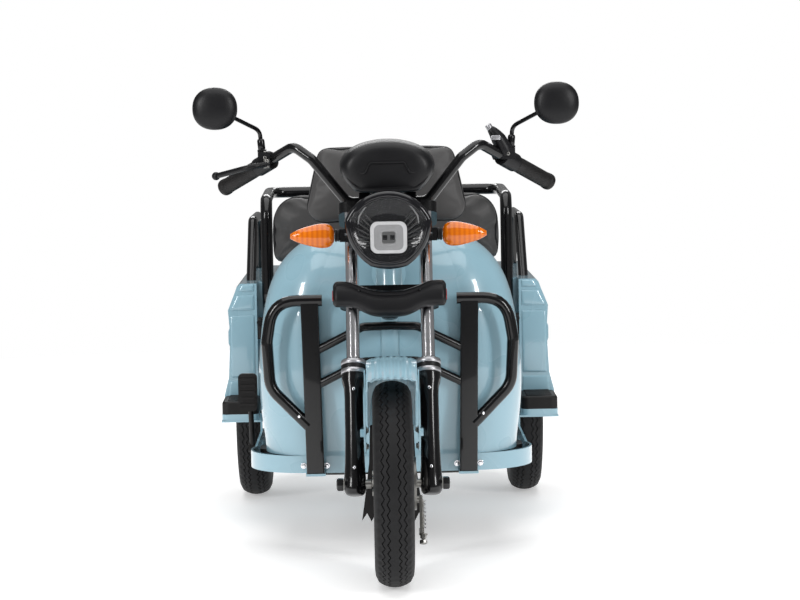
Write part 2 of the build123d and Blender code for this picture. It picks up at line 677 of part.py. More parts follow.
rear_fender += box_between((fender_in + 0.1, recess_y, 245), (315, recess_y + 4, 551))
rear_fender += box_between((311, fender_front + 1, 246), (314.9, recess_y + 4, 551))
rear_fender -= box_between((fender_in - 2, 300, 150), (fender_in + 0.0, 800, 300))
rear_fender -= across_x(Cylinder(40, 80), fender_in, rear_axle_y, tyre_radius)
save("rear_fenders", both_sides(rear_fender))

side_rail = pipe([
    (329, 300, 531), (329, 470, 690), (329, 770, 690), (329, 806, 525),
], side_rail_radius, 40)
side_rail -= box_between((200, 200, 400), (400, 900, tub_top + 0.2))
save("side_rails", both_sides(side_rail))

# Rear axle with its motor, links and springs
housing_end = wheel_x - 52
rear_housing = rod((-housing_end, rear_axle_y, tyre_radius), (housing_end, rear_axle_y, tyre_radius), 26)
rear_housing += across_x(Cylinder(72, 110), -20, rear_axle_y, tyre_radius)
rear_housing += across_x(Cylinder(58, 150), -60, rear_axle_y, tyre_radius)
stub = rod((housing_end, rear_axle_y, tyre_radius), (wheel_x + 36, rear_axle_y, tyre_radius), rear_bore - running_fit)
rear_housing += both_sides(stub)
link = bar((185, 417.3, 196), (185, rear_axle_y, tyre_radius), 12, 30)
link += rod((170, 417.3, 196), (200, 417.3, 196), 15)
rear_housing += both_sides(link)
save("rear_axle", rear_housing)

coil = rod((222, rear_axle_y, 234.2), (222, rear_axle_y, frame_rear_z - 13), 12)
for n in range(5):
    coil += Pos(222, rear_axle_y, 243 + 13 * n) * Torus(22, 4.2)
    coil += Pos(222, rear_axle_y, 243 + 13 * n) * Cylinder(20, 3)
save("rear_springs", both_sides(coil))

for name, side in (("left", 1), ("right", -1)):
    save(f"rear_tyre_{name}", across_x(tyre(), side * wheel_x, rear_axle_y, tyre_radius))
    wheel = rim(rear_bore, 38, -40, 24)
    wheel += Pos(0, 0, 32) * Cylinder(30, 20) - Pos(0, 0, 20) * Cylinder(rear_bore, 34)
    wheel = wheel if side > 0 else mirror(wheel, about=Plane.XY)
    save(f"rear_rim_{name}", across_x(wheel, side * wheel_x, rear_axle_y, tyre_radius))

# Tail lamps, pedal and latch
lamp = box_between((300, fender_back + 0.2, 400), (372, fender_back + 20, 500))
lamp = fillet(lamp.edges().filter_by(Axis.Y), 12)
save("tail_lamps", both_sides(lamp))

pedal = box_between((-336, -232, 300), (-294, -222, 384))
pedal = fillet(pedal.edges().filter_by(Axis.Y), 10)
for n in range(5):
    pedal += box_between((-332, -235, 312 + 14 * n), (-298, -231.5, 318 + 14 * n))
pedal += pipe([(-311, -223, 330), (-311, -190, 300), (-311, -150, 214)], 6, 20)
pedal += rod((-belt_half_width - 0.2, -150, 208), (-320, -150, 208), 9)
save("brake_pedal", pedal)
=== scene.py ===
import json
import math

import bmesh
import bpy
from mathutils import Matrix, Vector


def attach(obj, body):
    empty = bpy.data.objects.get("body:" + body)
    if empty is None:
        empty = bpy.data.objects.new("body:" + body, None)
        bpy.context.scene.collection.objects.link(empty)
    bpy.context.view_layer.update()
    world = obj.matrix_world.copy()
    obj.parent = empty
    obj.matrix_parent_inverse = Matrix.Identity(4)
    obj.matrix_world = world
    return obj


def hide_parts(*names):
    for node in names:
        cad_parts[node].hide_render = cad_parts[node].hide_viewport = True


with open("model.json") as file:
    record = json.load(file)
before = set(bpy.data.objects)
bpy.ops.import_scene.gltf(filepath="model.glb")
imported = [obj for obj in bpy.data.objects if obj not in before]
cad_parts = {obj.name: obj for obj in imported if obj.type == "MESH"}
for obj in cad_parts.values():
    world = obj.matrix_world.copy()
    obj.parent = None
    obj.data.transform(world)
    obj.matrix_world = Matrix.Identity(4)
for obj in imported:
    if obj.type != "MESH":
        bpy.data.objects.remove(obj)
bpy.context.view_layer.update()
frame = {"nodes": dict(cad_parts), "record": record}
nodes = frame["nodes"]
tau = 2.0 * math.pi
sides = (-1, 1)

# Sizes shared with the part, in metres
tyre_r = 0.208
front_y = -0.73
rear_y = 0.54
wheel_x = 0.336
rake = math.radians(24.0)
offset = 0.045
leg_x = 0.077

# Camera: just right of the vehicle's centreline, a little above the handlebar, tipped a little
camera_pitch = 85.6
camera_roll = 1.0
camera_yaw = -0.618
cam_data = bpy.data.cameras.new("camera")
cam_data.sensor_width = 36.0
cam_data.lens = 114.3
cam_data.clip_end = 100.0
cam = bpy.data.objects.new("camera", cam_data)
cam.location = (-0.028, -5.81, 0.97)
cam.rotation_euler = (math.radians(camera_pitch), math.radians(camera_roll), math.radians(camera_yaw))
bpy.context.scene.collection.objects.link(cam)
bpy.context.scene.camera = cam
bpy.context.scene.view_settings.view_transform = "Standard"


# Light
def area_light(name, place, aim, size, power):
    data = bpy.data.lights.new(name, "AREA")
    data.shape = "RECTANGLE"
    data.size, data.size_y = size
    data.energy = power
    lamp = bpy.data.objects.new(name, data)
    lamp.location = place
    way = Vector(aim) - Vector(place)
    lamp.rotation_euler = way.to_track_quat("-Z", "Y").to_euler()
    bpy.context.scene.collection.objects.link(lamp)


area_light("top_light", (0.0, -0.4, 3.4), (0.0, -0.1, 0.0), (3.4, 4.6), 92.0)
area_light("left_strip", (3.1, -3.5, 2.1), (0.0, -0.2, 0.45), (0.7, 1.9), 80.0)
area_light("right_strip", (-3.1, -3.5, 2.1), (0.0, -0.2, 0.45), (0.7, 1.9), 80.0)
area_light("rear_light", (0.0, 4.2, 3.0), (0.0, 0.4, 0.4), (3.0, 1.4), 60.0)

# World: white to the camera, and dimmer as a light and in reflections
world = bpy.data.worlds.new("studio")
bpy.context.scene.world = world
world.use_nodes = True
world_nodes = world.node_tree.nodes
world_links = world.node_tree.links
world_nodes.clear()
paths = world_nodes.new("ShaderNodeLightPath")


def white(strength):
    shade = world_nodes.new("ShaderNodeBackground")
    shade.inputs["Color"].default_value = (1.0, 1.0, 1.0, 1.0)
    shade.inputs["Strength"].default_value = strength
    return shade


def shown_to(path, rest, special):
    """The special shader on one kind of light path, and the other shader on the rest."""
    mix = world_nodes.new("ShaderNodeMixShader")
    world_links.new(paths.outputs[path], mix.inputs[0])
    world_links.new(rest.outputs[0], mix.inputs[1])
    world_links.new(special.outputs[0], mix.inputs[2])
    return mix


world_out = world_nodes.new("ShaderNodeOutputWorld")
sky = shown_to("Is Camera Ray", shown_to("Is Glossy Ray", white(0.38), white(0.18)), white(1.0))
world_links.new(sky.outputs[0], world_out.inputs["Surface"])


# Materials
class Shade:
    """A small helper for building one procedural material."""

    def __init__(self, name):
        self.mat = bpy.data.materials.new(name)
        self.mat.use_nodes = True
        self.tree = self.mat.node_tree
        self.bsdf = self.tree.nodes["Principled BSDF"]
        self.coord = self.tree.nodes.new("ShaderNodeTexCoord")

    def link(self, a, b):
        self.tree.links.new(a, b)

    def value(self, **values):
        for key, value in values.items():
            self.bsdf.inputs[key.replace("_", " ")].default_value = value

    def texture(self, kind, **inputs):
        """A texture laid out in the object's own coordinates."""
        node = self.tree.nodes.new(kind)
        for key, value in inputs.items():
            node.inputs[key].default_value = value
        self.link(self.coord.outputs["Object"], node.inputs["Vector"])
        return node

    def noise(self, scale, detail=4.0, rough=0.55):
        return self.texture("ShaderNodeTexNoise", Scale=scale, Detail=detail, Roughness=rough).outputs["Fac"]

    def cells(self, scale):
        node = self.texture("ShaderNodeTexVoronoi", Scale=scale)
        node.feature = "DISTANCE_TO_EDGE"
        return node.outputs["Distance"]

    def wave(self, direction, scale):
        node = self.texture("ShaderNodeTexWave", Scale=scale)
        node.bands_direction = direction
        return node.outputs["Fac"]

    def tint(self, source, dark, light, low=0.3, high=0.7):
        """Base colour that runs from dark to light with the source."""
        node = self.tree.nodes.new("ShaderNodeValToRGB")
        for point, place, colour in zip(node.color_ramp.elements, (low, high), (dark, light)):
            point.position = place
            point.color = (*colour, 1.0)
        self.link(source, node.inputs["Fac"])
        self.link(node.outputs["Color"], self.bsdf.inputs["Base Color"])

    def rough(self, source, low, high):
        """Roughness that runs from low to high with the source."""
        node = self.tree.nodes.new("ShaderNodeMapRange")
        node.inputs["To Min"].default_value = low
        node.inputs["To Max"].default_value = high
        self.link(source, node.inputs["Value"])
        self.link(node.outputs["Result"], self.bsdf.inputs["Roughness"])

    def bump(self, *layers, edge=0.0):
        """Bump layers of (source, depth), over edges rounded by a bevel."""
        last = None
        if edge:
            node = self.tree.nodes.new("ShaderNodeBevel")
            node.samples = 4
            node.inputs["Radius"].default_value = edge
            last = node.outputs["Normal"]
        for source, distance in layers:
            node = self.tree.nodes.new("ShaderNodeBump")
            node.inputs["Strength"].default_value = 1.0
            node.inputs["Distance"].default_value = distance
            self.link(source, node.inputs["Height"])
            if last is not None:
                self.link(last, node.inputs["Normal"])
            last = node.outputs["Normal"]
        self.link(last, self.bsdf.inputs["Normal"])


def paint(name, light, dark, rough, coat=1.0, specular=0.5):
    s = Shade(name)
    s.value(Coat_Weight=coat, Coat_Roughness=0.03, Specular_IOR_Level=specular)
    s.tint(s.noise(5.0, 3.0), dark, light, 0.35, 0.65)
    s.rough(s.noise(8.0, 1.0), rough - 0.03, rough + 0.03)
    s.bump((s.noise(12.0, 0.0), 0.00015))
    return s.mat


def plastic(name, light, dark, rough, grain=0.00006, specular=0.28):
    s = Shade(name)
    s.value(Specular_IOR_Level=specular)
    s.tint(s.noise(14.0), dark, light)
    s.rough(s.noise(45.0), rough - 0.06, rough + 0.07)
    s.bump((s.cells(700.0), grain), edge=0.0012)
    return s.mat


def metal(name, light, dark, rough, scale=220.0, depth=0.00002):
    s = Shade(name)
    s.value(Metallic=1.0)
    s.tint(s.noise(20.0), dark, light)
    grain = s.noise(scale, 5.0, 0.6)
    s.rough(grain, rough - 0.05, rough + 0.08)
    s.bump((grain, depth), edge=0.0008)
    return s.mat


def rubbery(name, light, dark, rough, fine):
    s = Shade(name)
    s.value(Specular_IOR_Level=0.3)
    s.tint(s.noise(22.0), dark, light)
    s.rough(s.noise(70.0), rough - 0.08, rough + 0.08)
    s.bump((s.noise(fine), 0.0001), edge=0.0008)
    return s.mat


def lens(name, light, dark, transmission, ribs):
    s = Shade(name)
    s.value(Transmission_Weight=transmission, IOR=1.45, Coat_Weight=0.35, Coat_Roughness=0.03)
    s.tint(s.wave("X", ribs), dark, light, 0.1, 0.7)
    s.rough(s.noise(50.0), 0.05, 0.12)
    s.bump((s.wave("X", ribs), 0.00012), (s.wave("Z", ribs * 0.7), 0.0001))
    return s.mat


def clear_lens(name):
    s = Shade(name)
    s.value(Alpha=0.16, IOR=1.9)
    s.tint(s.noise(30.0), (0.02, 0.021, 0.023), (0.03, 0.031, 0.033))
    s.rough(s.noise(40.0), 0.01, 0.04)
    s.bump((s.noise(14.0), 0.0001))
    return s.mat


def vinyl(name):
    s = Shade(name)
    s.value(Sheen_Weight=0.12, Sheen_Roughness=0.5)
    s.tint(s.noise(9.0), (0.04, 0.0385, 0.0385), (0.05, 0.0485, 0.0485))
    s.rough(s.noise(120.0), 0.44, 0.58)
    s.bump((s.cells(420.0), 0.00022), (s.noise(1400.0, 2.0), 0.00005))
    return s.mat


def painted_lamp_glow(name, tone, glow):
    """A lit face of the headlamp's projector, in painted light: a light colour and a small glow stand in for
    the light it catches through the lens.
    """
    s = Shade(name)
    s.value(Emission_Color=(1.0, 1.0, 1.0, 1.0), Emission_Strength=glow)
    s.tint(s.noise(60.0), (tone * 0.9, tone * 0.9, tone * 0.92), (tone, tone, tone * 1.02))
    s.rough(s.noise(90.0), 0.12, 0.22)
    s.bump((s.noise(160.0), 0.0001))
    return s.mat


MAT = {}
for make, name, *sizes in (
    (paint, "blue_paint", (0.266, 0.442, 0.525), (0.258, 0.431, 0.513), 0.28),
    (paint, "black_paint", (0.003, 0.003, 0.0036), (0.002, 0.002, 0.0024), 0.22, 0.45, 0.25),
    (plastic, "black_plastic", (0.006, 0.006, 0.0072), (0.004, 0.004, 0.0048), 0.4),
    (plastic, "gloss_black_plastic", (0.007, 0.007, 0.009), (0.005, 0.005, 0.006), 0.1, 0.00001, 0.5),
    (metal, "chrome", (0.86, 0.86, 0.89), (0.8, 0.8, 0.83), 0.14),
    (metal, "steel", (0.34, 0.335, 0.32), (0.24, 0.235, 0.22), 0.34),
    (metal, "aluminium", (0.5, 0.5, 0.52), (0.42, 0.42, 0.44), 0.4, 90.0, 0.0001),
    (metal, "mirror", (0.88, 0.89, 0.9), (0.86, 0.87, 0.88), 0.06, 60.0, 0.000002),
    (rubbery, "tyre_rubber", (0.0062, 0.0062, 0.007), (0.0036, 0.0036, 0.0042), 0.66, 500.0),
    (rubbery, "rubber", (0.0095, 0.0085, 0.0085), (0.006, 0.0055, 0.0055), 0.54, 650.0),
    (lens, "amber_lens", (0.7, 0.165, 0.002), (0.58, 0.115, 0.0015), 0.06, 30.0),
    (lens, "red_lens", (0.3, 0.012, 0.008), (0.12, 0.003, 0.002), 0.2, 42.0),
    (clear_lens, "clear_lens"),
    (vinyl, "vinyl"),
    # Painted light inside the headlamp: white, grey and dark copies of one glowing material stand in for the
    # light and reflections caught through the lens
    (painted_lamp_glow, "painted_glow_white", 0.62, 0.26),
    (painted_lamp_glow, "painted_glow_grey", 0.36, 0.09),
    (painted_lamp_glow, "painted_glow_dark", 0.05, 0.004),
):
    MAT[name] = make(name, *sizes)

for part in frame["record"]["subparts"]:
    ob = nodes[part["node"]]
    ob.data.materials.clear()
    ob.data.materials.append(MAT[part["material_slot"]])
    for poly in ob.data.polygons:
        poly.use_smooth = True
    split_edges = ob.modifiers.new("edges", "EDGE_SPLIT")
    split_edges.split_angle = math.radians(32)

# Directions and places
up_steering = Vector((0.0, math.sin(rake), math.cos(rake)))
back_steering = Vector((0.0, math.cos(rake), -math.sin(rake)))


def at_steering(x, back, s):
    """World point of a place measured across, back from and up the steering axis."""
    return Vector((x, front_y, tyre_r)) + back_steering * (offset + back) + up_steering * s


def turned_to(axis, place):
    """Matrix that stands a z-up shape at a place along an axis."""
    turn = Vector(axis).to_track_quat("Z", "Y").to_matrix().to_4x4()
    return Matrix.Translation(Vector(place)) @ turn


def facing(way, place):
    """Matrix that stands a plate upright at a place, with its thickness growing one way."""
    turns = {
        "front": Matrix.Rotation(tau / 4, 4, "X"),
        "back": Matrix.Rotation(-tau / 4, 4, "X"),
        "left": Matrix.Rotation(tau / 4, 4, "Y") @ Matrix.Rotation(tau / 4, 4, "Z"),
    }
    return Matrix.Translation(place) @ turns[way]


def mirrored(v, side):
    return Vector((v[0] * side, v[1], v[2]))


# Outlines
def ring(radius, count, height=0.0, other_radius=None):
    """Points round a circle, or round an ellipse with another radius in y."""
    deep = radius if other_radius is None else other_radius
    return [
        (radius * math.cos(tau * k / count), deep * math.sin(tau * k / count), height) for k in range(count)
    ]


def four_sided(upper, lower, steps, middle=0.0):
    """A symmetric outline with rounded corners, from (x, y, radius) of an upper and a lower corner."""
    points = []
    for quarter, (side, (x, y, radius)) in enumerate(((1, upper), (-1, upper), (-1, lower), (1, lower))):
        for k in range(steps + 1):
            a = (quarter + k / steps) * tau / 4
            points.append((middle + side * x + radius * math.cos(a), y + radius * math.sin(a)))
    return points


def rounded_rectangle(half_x, half_y, radius, steps=6, middle=(0.0, 0.0)):
    reach = half_y - radius
    upper = (half_x - radius, middle[1] + reach, radius)
    lower = (half_x - radius, middle[1] - reach, radius)
    return four_sided(upper, lower, steps, middle[0])


def clockwise_arc(a, b, c, steps):
    """Centre, radius and angles of the arc that runs clockwise from a through b to c."""
    d = 2 * (a[0] * (b[1] - c[1]) + b[0] * (c[1] - a[1]) + c[0] * (a[1] - b[1]))
    qa, qb, qc = (p[0] ** 2 + p[1] ** 2 for p in (a, b, c))
    x = (qa * (b[1] - c[1]) + qb * (c[1] - a[1]) + qc * (a[1] - b[1])) / d
    y = (qa * (c[0] - b[0]) + qb * (a[0] - c[0]) + qc * (b[0] - a[0])) / d
    start = math.atan2(a[1] - y, a[0] - x)
    turn = (math.atan2(c[1] - y, c[0] - x) - start) % tau - tau
    angles = [start + turn * k / steps for k in range(steps + 1)]
    return x, y, math.hypot(a[0] - x, a[1] - y), angles


def smooth_through(points, steps=8, closed=False):
    """Catmull-Rom points through the given ones."""
    points = [Vector(q) for q in points]
    count = len(points)
    result = []
    for i in range(count if closed else count - 1):
        a = points[i - 1] if closed else points[max(i - 1, 0)]
        b = points[i]
        c = points[(i + 1) % count]
        d = points[(i + 2) % count] if closed else points[min(i + 2, count - 1)]
        for k in range(steps):
            t = k / steps
            result.append(0.5 * (2 * b + (c - a) * t + (2 * a - 5 * b + 4 * c - d) * t * t
                                 + (3 * b - a - 3 * c + d) * t ** 3))
    if not closed:
        result.append(points[-1])
    return result


def bent(points, bend, steps=7):
    """Points along straight runs with a round bend at each corner."""
    points = [Vector(q) for q in points]
    result = [points[0]]
    for before, corner, after in zip(points, points[1:], points[2:]):
        into = (corner - before).normalized()
        out = (after - corner).normalized()
        reach = bend * math.tan(into.angle(out) / 2)
        start = corner - into * reach
        end = corner + out * reach
        for k in range(steps + 1):
            t = k / steps
            result.append(start * (1 - t) ** 2 + corner * 2 * t * (1 - t) + end * t * t)
    result.append(points[-1])
    return result


def helix(radius, turns, steps_per_turn, height):
    """Points of a coil that rises from the ground."""
    count = int(turns * steps_per_turn)
    angles = [tau * k / steps_per_turn for k in range(count + 1)]
    return [Vector((radius * math.cos(a), radius * math.sin(a), height * a / angles[-1])) for a in angles]


def symmetric(right_half):
    """A closed outline from its right half, listed from the top centre to the bottom centre."""
    return right_half + [(-x, z) for x, z in reversed(right_half[1:-1])]


class Piece:
    """Collects simple forms into one mesh object."""

    def __init__(self):
        self.verts = []
        self.faces = []

    def grid(self, rings, matrix=Matrix(), ends="capped"):
        """Joins a row of rings of points; its ends are capped, open or joined to each other."""
        start = len(self.verts)
        count = len(rings[0])
        for r in range(len(rings) if ends == "joined" else len(rings) - 1):
            here = start + r * count
            there = start + (r + 1) % len(rings) * count
            for k in range(count):
                after = (k + 1) % count
                self.faces.append((here + k, here + after, there + after, there + k))
        if ends == "capped":
            last = start + (len(rings) - 1) * count
            self.faces.append(tuple(reversed(range(start, start + count))))
            self.faces.append(tuple(range(last, last + count)))
        self.verts += [tuple(matrix @ Vector(p)) for points in rings for p in points]

    def layers(self, rows, ends="capped"):
        """Joins outlines drawn in x and z, each at its own y."""
        self.grid([[(x, y, z) for x, z in outline] for outline, y in rows], ends=ends)

    def lathe(self, profile, place, axis, count=32):
        """Turns (radius, height) points about an axis."""
        self.grid([ring(radius, count, height) for radius, height in profile], turned_to(axis, place))

    def bolt(self, place, axis, across=0.01, height=0.005):
        """A domed hexagon head on a washer."""
        r = across / 1.732
        washer = [(r * 1.35, 0.0), (r * 1.4, 0.0004), (r * 1.4, 0.0012), (r * 1.3, 0.0016)]
        head = [(r, 0.0), (r, height * 0.8), (r * 0.86, height), (r * 0.4, height * 1.06)]
        self.lathe(washer, place, axis, 20)
        self.lathe(head, place, axis, 6)

    def button(self, place, axis, radius=0.005, height=0.003):
        """A round head with a socket."""
        self.lathe([
            (radius, 0.0), (radius, height * 0.35), (radius * 0.85, height * 0.8), (radius * 0.55, height),
            (radius * 0.45, height), (radius * 0.42, height * 0.45), (0.0001, height * 0.4),
        ], place, axis, 20)

    def tube(self, points, radius, around=10, closed=False):
        """A round tube along points, one radius or one for each point."""
        points = [Vector(p) for p in points]
        count = len(points)
        radii = radius if isinstance(radius, list) else [radius] * count
        rings = []
        normal = None
        for i, p in enumerate(points):
            before = points[i - 1] if (i or closed) else p
            after = points[(i + 1) % count] if (i < count - 1 or closed) else p
            way = (after - before).normalized()
            if normal is None:
                normal = way.orthogonal().normalized()
            normal = (normal - way * normal.dot(way)).normalized()
            across = way.cross(normal)
            rings.append([p + normal * x + across * y for x, y, _ in ring(radii[i], around)])
        if closed:
            # The last ring is the first, with its points in the nearest order
            first = rings[0]
            last = rings[-1]
            shift = min(range(around), key=lambda k: (first[k] - last[0]).length)
            rings.append(first[shift:] + first[:shift])
        self.grid(rings, ends="open" if closed else "capped")

    def plate(self, outline, depth, matrix, edge):
        """A flat plate from a 2D outline, with a chamfered upper edge."""
        middle = Vector((sum(p[0] for p in outline), sum(p[1] for p in outline))) / len(outline)
        levels = [(0.0, 0.0), (0.0, depth - edge), (edge * 0.35, depth - edge * 0.35), (edge, depth)]
        rings = []
        for inset, height in levels:
            points = []
            for p in outline:
                way = Vector(p) - middle
                q = middle + way * max(0.0, 1.0 - inset / max(way.length, 1e-6))
                points.append((q.x, q.y, height))
            rings.append(points)
        self.grid(rings, matrix)

    def to_object(self, name):
        """A new object in the scene, with what was collected as its mesh."""
        mesh = bpy.data.meshes.new(name)
        mesh.from_pydata(self.verts, [], self.faces)
        mesh.update()
        bm = bmesh.new()
        bm.from_mesh(mesh)
        bmesh.ops.recalc_face_normals(bm, faces=bm.faces)
        bm.to_mesh(mesh)
        bm.free()
        for poly in mesh.polygons:
            poly.use_smooth = True
        ob = bpy.data.objects.new(name, mesh)
        bpy.context.scene.collection.objects.link(ob)
        return ob

    def done(self, name, slot, body, smooth=32.0, replaces=(), bevel=0.0, look=None):
        """Makes the piece ride on its body, with its edges split past an angle."""
        ob = self.to_object(name)
        if bevel:
            rounding = ob.modifiers.new("bevel", "BEVEL")
            rounding.width = bevel
            rounding.segments = 2
            rounding.limit_method = "ANGLE"
            rounding.angle_limit = math.radians(40)
        if smooth:
            edges = ob.modifiers.new("edges", "EDGE_SPLIT")
            edges.split_angle = math.radians(smooth)
        ob.data.materials.append(MAT[look or slot])
        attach(ob, body)
        if replaces:
            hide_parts(*replaces)


# Tyres: zigzag grooves beside a middle rib, a plain groove and notched shoulders
zigzags = 60
steps_per_zigzag = 4
zigzag_half = 0.0028
notch_depth = 0.0022
crown_radius = 0.052
crown_centre = tyre_r - crown_radius
shoulder_x = 0.032
tread_columns = [
    # distance from the middle, share of the zigzag, depth of groove, share of the notch depth
    (0.0, 0, 0.0, 0), (0.0098, 1, 0.0, 0), (0.0104, 1, 0.003, 0), (0.0116, 1, 0.003, 0),
    (0.0122, 1, 0.0, 0), (0.0206, 1, 0.0, 0), (0.0212, 1, 0.0026, 0), (0.0224, 1, 0.0026, 0),
    (0.023, 1, 0.0, 0), (0.0252, 0, 0.0, 0.2), (0.0262, 0, 0.0, 1), (0.03, 0, 0.0, 1),
    (shoulder_x, 0, 0.0, 1),
]


def side_wall(steps=9):
    """Points from the shoulder to the bead, as (distance from the middle, radius)."""
    x, y, radius, angles = clockwise_arc((shoulder_x, 0.197), (0.04, 0.16765), (0.03, 0.1373), steps)
    points = []
    for k in range(1, steps + 1):
        # Two low ridges run round the side wall
        r = radius + (0.0007 if k in (2, 7) else 0.0)
        points.append((x + r * math.cos(angles[k]), y + r * math.sin(angles[k])))
    return points + [(0.0292, 0.1325), (0.028, 0.1274)]


def tyre_tread(node, body, x, y):
    wall = side_wall()
    count = zigzags * steps_per_zigzag
    rings = []
    for i in range(count):
        turn = tau * i / count
        phase = i % steps_per_zigzag
        zig = zigzag_half * (1.0 - 4.0 * abs(phase / steps_per_zigzag - 0.5))
        half = []
        for across, zig_share, groove, notch in tread_columns:
            v = across + zig * zig_share
            crown = crown_centre + math.sqrt(crown_radius ** 2 - min(v, shoulder_x) ** 2)
            cut = 0.0 if phase else notch_depth * notch
            half.append((v, crown - groove - cut))
        half += wall
        section = [(-v, r) for v, r in reversed(half[1:])] + half
        rings.append([(x + v, y + r * math.sin(turn), tyre_r + r * math.cos(turn)) for v, r in section])
    p = Piece()
    p.grid(rings, ends="joined")
    p.done(f"{node}_tread", "tyre_rubber", body, 38.0, (node,))


def wheel_fittings(body, x, y, side, nut_circle, hub_face):
    """Wheel nuts and a valve stem."""
    p = Piece()
    for k in range(5):
        a = tau * k / 5 + 0.3
        place = (x + side * hub_face, y + nut_circle * math.cos(a), tyre_r + nut_circle * math.sin(a))
        p.bolt(place, (side, 0, 0), 0.01, 0.006)
    valve_turn = 0.9
    rim_radius = 0.1185
    way = Vector((0.0, -math.cos(valve_turn), -math.sin(valve_turn)))
    root = Vector((x + side * 0.014, y, tyre_r)) - way * rim_radius
    p.lathe([
        (0.0042, 0.0), (0.0042, 0.006), (0.0028, 0.009), (0.0028, 0.022), (0.0036, 0.0225), (0.0036, 0.028),
        (0.0024, 0.03),
    ], root, way + Vector((side * 0.35, 0, 0)), 14)
    p.done(f"{body}_fittings", "steel", body)


wheels = (
    # node, body, middle across and along, outer side, radius of the nut circle, hub face
    ("front_tyre", "front_wheel", 0.0, front_y, -1, 0.022, 0.036),
    ("rear_tyre_left", "rear_wheel_left", wheel_x, rear_y, 1, 0.03, 0.042),
    ("rear_tyre_right", "rear_wheel_right", -wheel_x, rear_y, -1, 0.03, 0.042),
)
for node, body, x, y, *_ in wheels:
    tyre_tread(node, body, x, y)
for _, body, *sizes in wheels:
    wheel_fittings(body, *sizes)

# Cushions: each form is filled by a short cloth simulation; an upright one is drawn in x and z
cloth_frames = 20
pad_layers = 7


def depth_of(co, upright):
    """How far out a point of a cushion lies, to the front or up."""
    return -co.y if upright else co.z


def pad_shape(name, outline, low, high, upright, voxel, crown):
    """An evenly meshed pad from an outline drawn across its depth, with a crowned outer face."""
    cx = sum(p[0] for p in outline) / len(outline)
    cy = sum(p[1] for p in outline) / len(outline)
    edge = min(0.016, (high - low) * 0.32)
    rings = []
    for k in range(pad_layers):
        t = k / (pad_layers - 1)
        depth = low + (high - low) * t
        tuck = edge * (1.0 - math.sqrt(max(0.0, 1.0 - max(0.0, (t - 0.55) / 0.45) ** 2)))
        tuck += 0.3 * edge * (1.0 - math.sqrt(max(0.0, 1.0 - max(0.0, (0.25 - t) / 0.25) ** 2)))
        points = []
        for p in outline:
            way = Vector((p[0] - cx, p[1] - cy))
            q = way * (1.0 - (tuck + 0.004) / way.length)
            points.append((cx + q.x, -depth, cy + q.y) if upright else (cx + q.x, cy + q.y, depth))
        rings.append(points)
    p = Piece()
    p.grid(rings)
    ob = p.to_object(name)
    remesh = ob.modifiers.new("remesh", "REMESH")
    remesh.mode = "VOXEL"
    remesh.voxel_size = voxel
    deps = bpy.context.evaluated_depsgraph_get()
    even = bpy.data.meshes.new_from_object(ob.evaluated_get(deps))
    ob.modifiers.clear()
    ob.data = even
    half_x = max(abs(p[0] - cx) for p in outline)
    half_y = max(abs(p[1] - cy) for p in outline)
    for v in ob.data.vertices:
        t = (depth_of(v.co, upright) - low) / (high - low)
        if t > 0.4:
            u = (v.co.x - cx) / half_x
            w = ((v.co.z if upright else v.co.y) - cy) / half_y
            lift = crown * max(0.0, 1.0 - abs(u) ** 2.5) * max(0.0, 1.0 - abs(w) ** 2.5)
            lift *= min(1.0, (t - 0.4) / 0.5)
            if upright:
                v.co.y -= lift
            else:
                v.co.z += lift
    return ob


def inflate(ob, low, upright, cap):
    """Pushes a pad out by inner pressure, held at its base, by no more than the cap."""
    before = [v.co.copy() for v in ob.data.vertices]
    held = ob.vertex_groups.new(name="held")
    base = [v.index for v in ob.data.vertices if depth_of(v.co, upright) < low + 0.006]
    held.add(base, 1.0, "REPLACE")
    cloth = ob.modifiers.new("cloth", "CLOTH")
    cloth.settings.quality = 4
    cloth.settings.mass = 0.3
    cloth.settings.tension_stiffness = 25
    cloth.settings.compression_stiffness = 25
    cloth.settings.shear_stiffness = 15
    cloth.settings.bending_stiffness = 2.0
    cloth.settings.use_pressure = True
    cloth.settings.uniform_pressure_force = 4.0
    cloth.settings.vertex_group_mass = "held"
    cloth.settings.effector_weights.gravity = 0.0
    cloth.collision_settings.use_collision = False
    cloth.point_cache.frame_start = 1
    cloth.point_cache.frame_end = cloth_frames
    for f in range(1, cloth_frames + 1):
        bpy.context.scene.frame_set(f)
    deps = bpy.context.evaluated_depsgraph_get()
    after = [v.co.copy() for v in ob.evaluated_get(deps).data.vertices]
    ob.modifiers.clear()
    ob.vertex_groups.clear()
    bpy.context.scene.frame_set(1)
    for v, a, b in zip(ob.data.vertices, before, after):
        move = b - a
        if move.length > cap:
            move = move.normalized() * cap
        v.co = a + move


def press_seam(ob, upright, level, depth, width):
    """Presses a narrow valley into a pad all the way round at one level."""
    middle = sum((v.co for v in ob.data.vertices), Vector()) / len(ob.data.vertices)
    for v in ob.data.vertices:
        gap = abs(depth_of(v.co, upright) - level)
        way = v.co - middle
        way[1 if upright else 2] = 0.0
        if gap < width * 2 and way.length > 0.0:
            v.co -= way.normalized() * depth * math.exp(-(gap / width) ** 2)


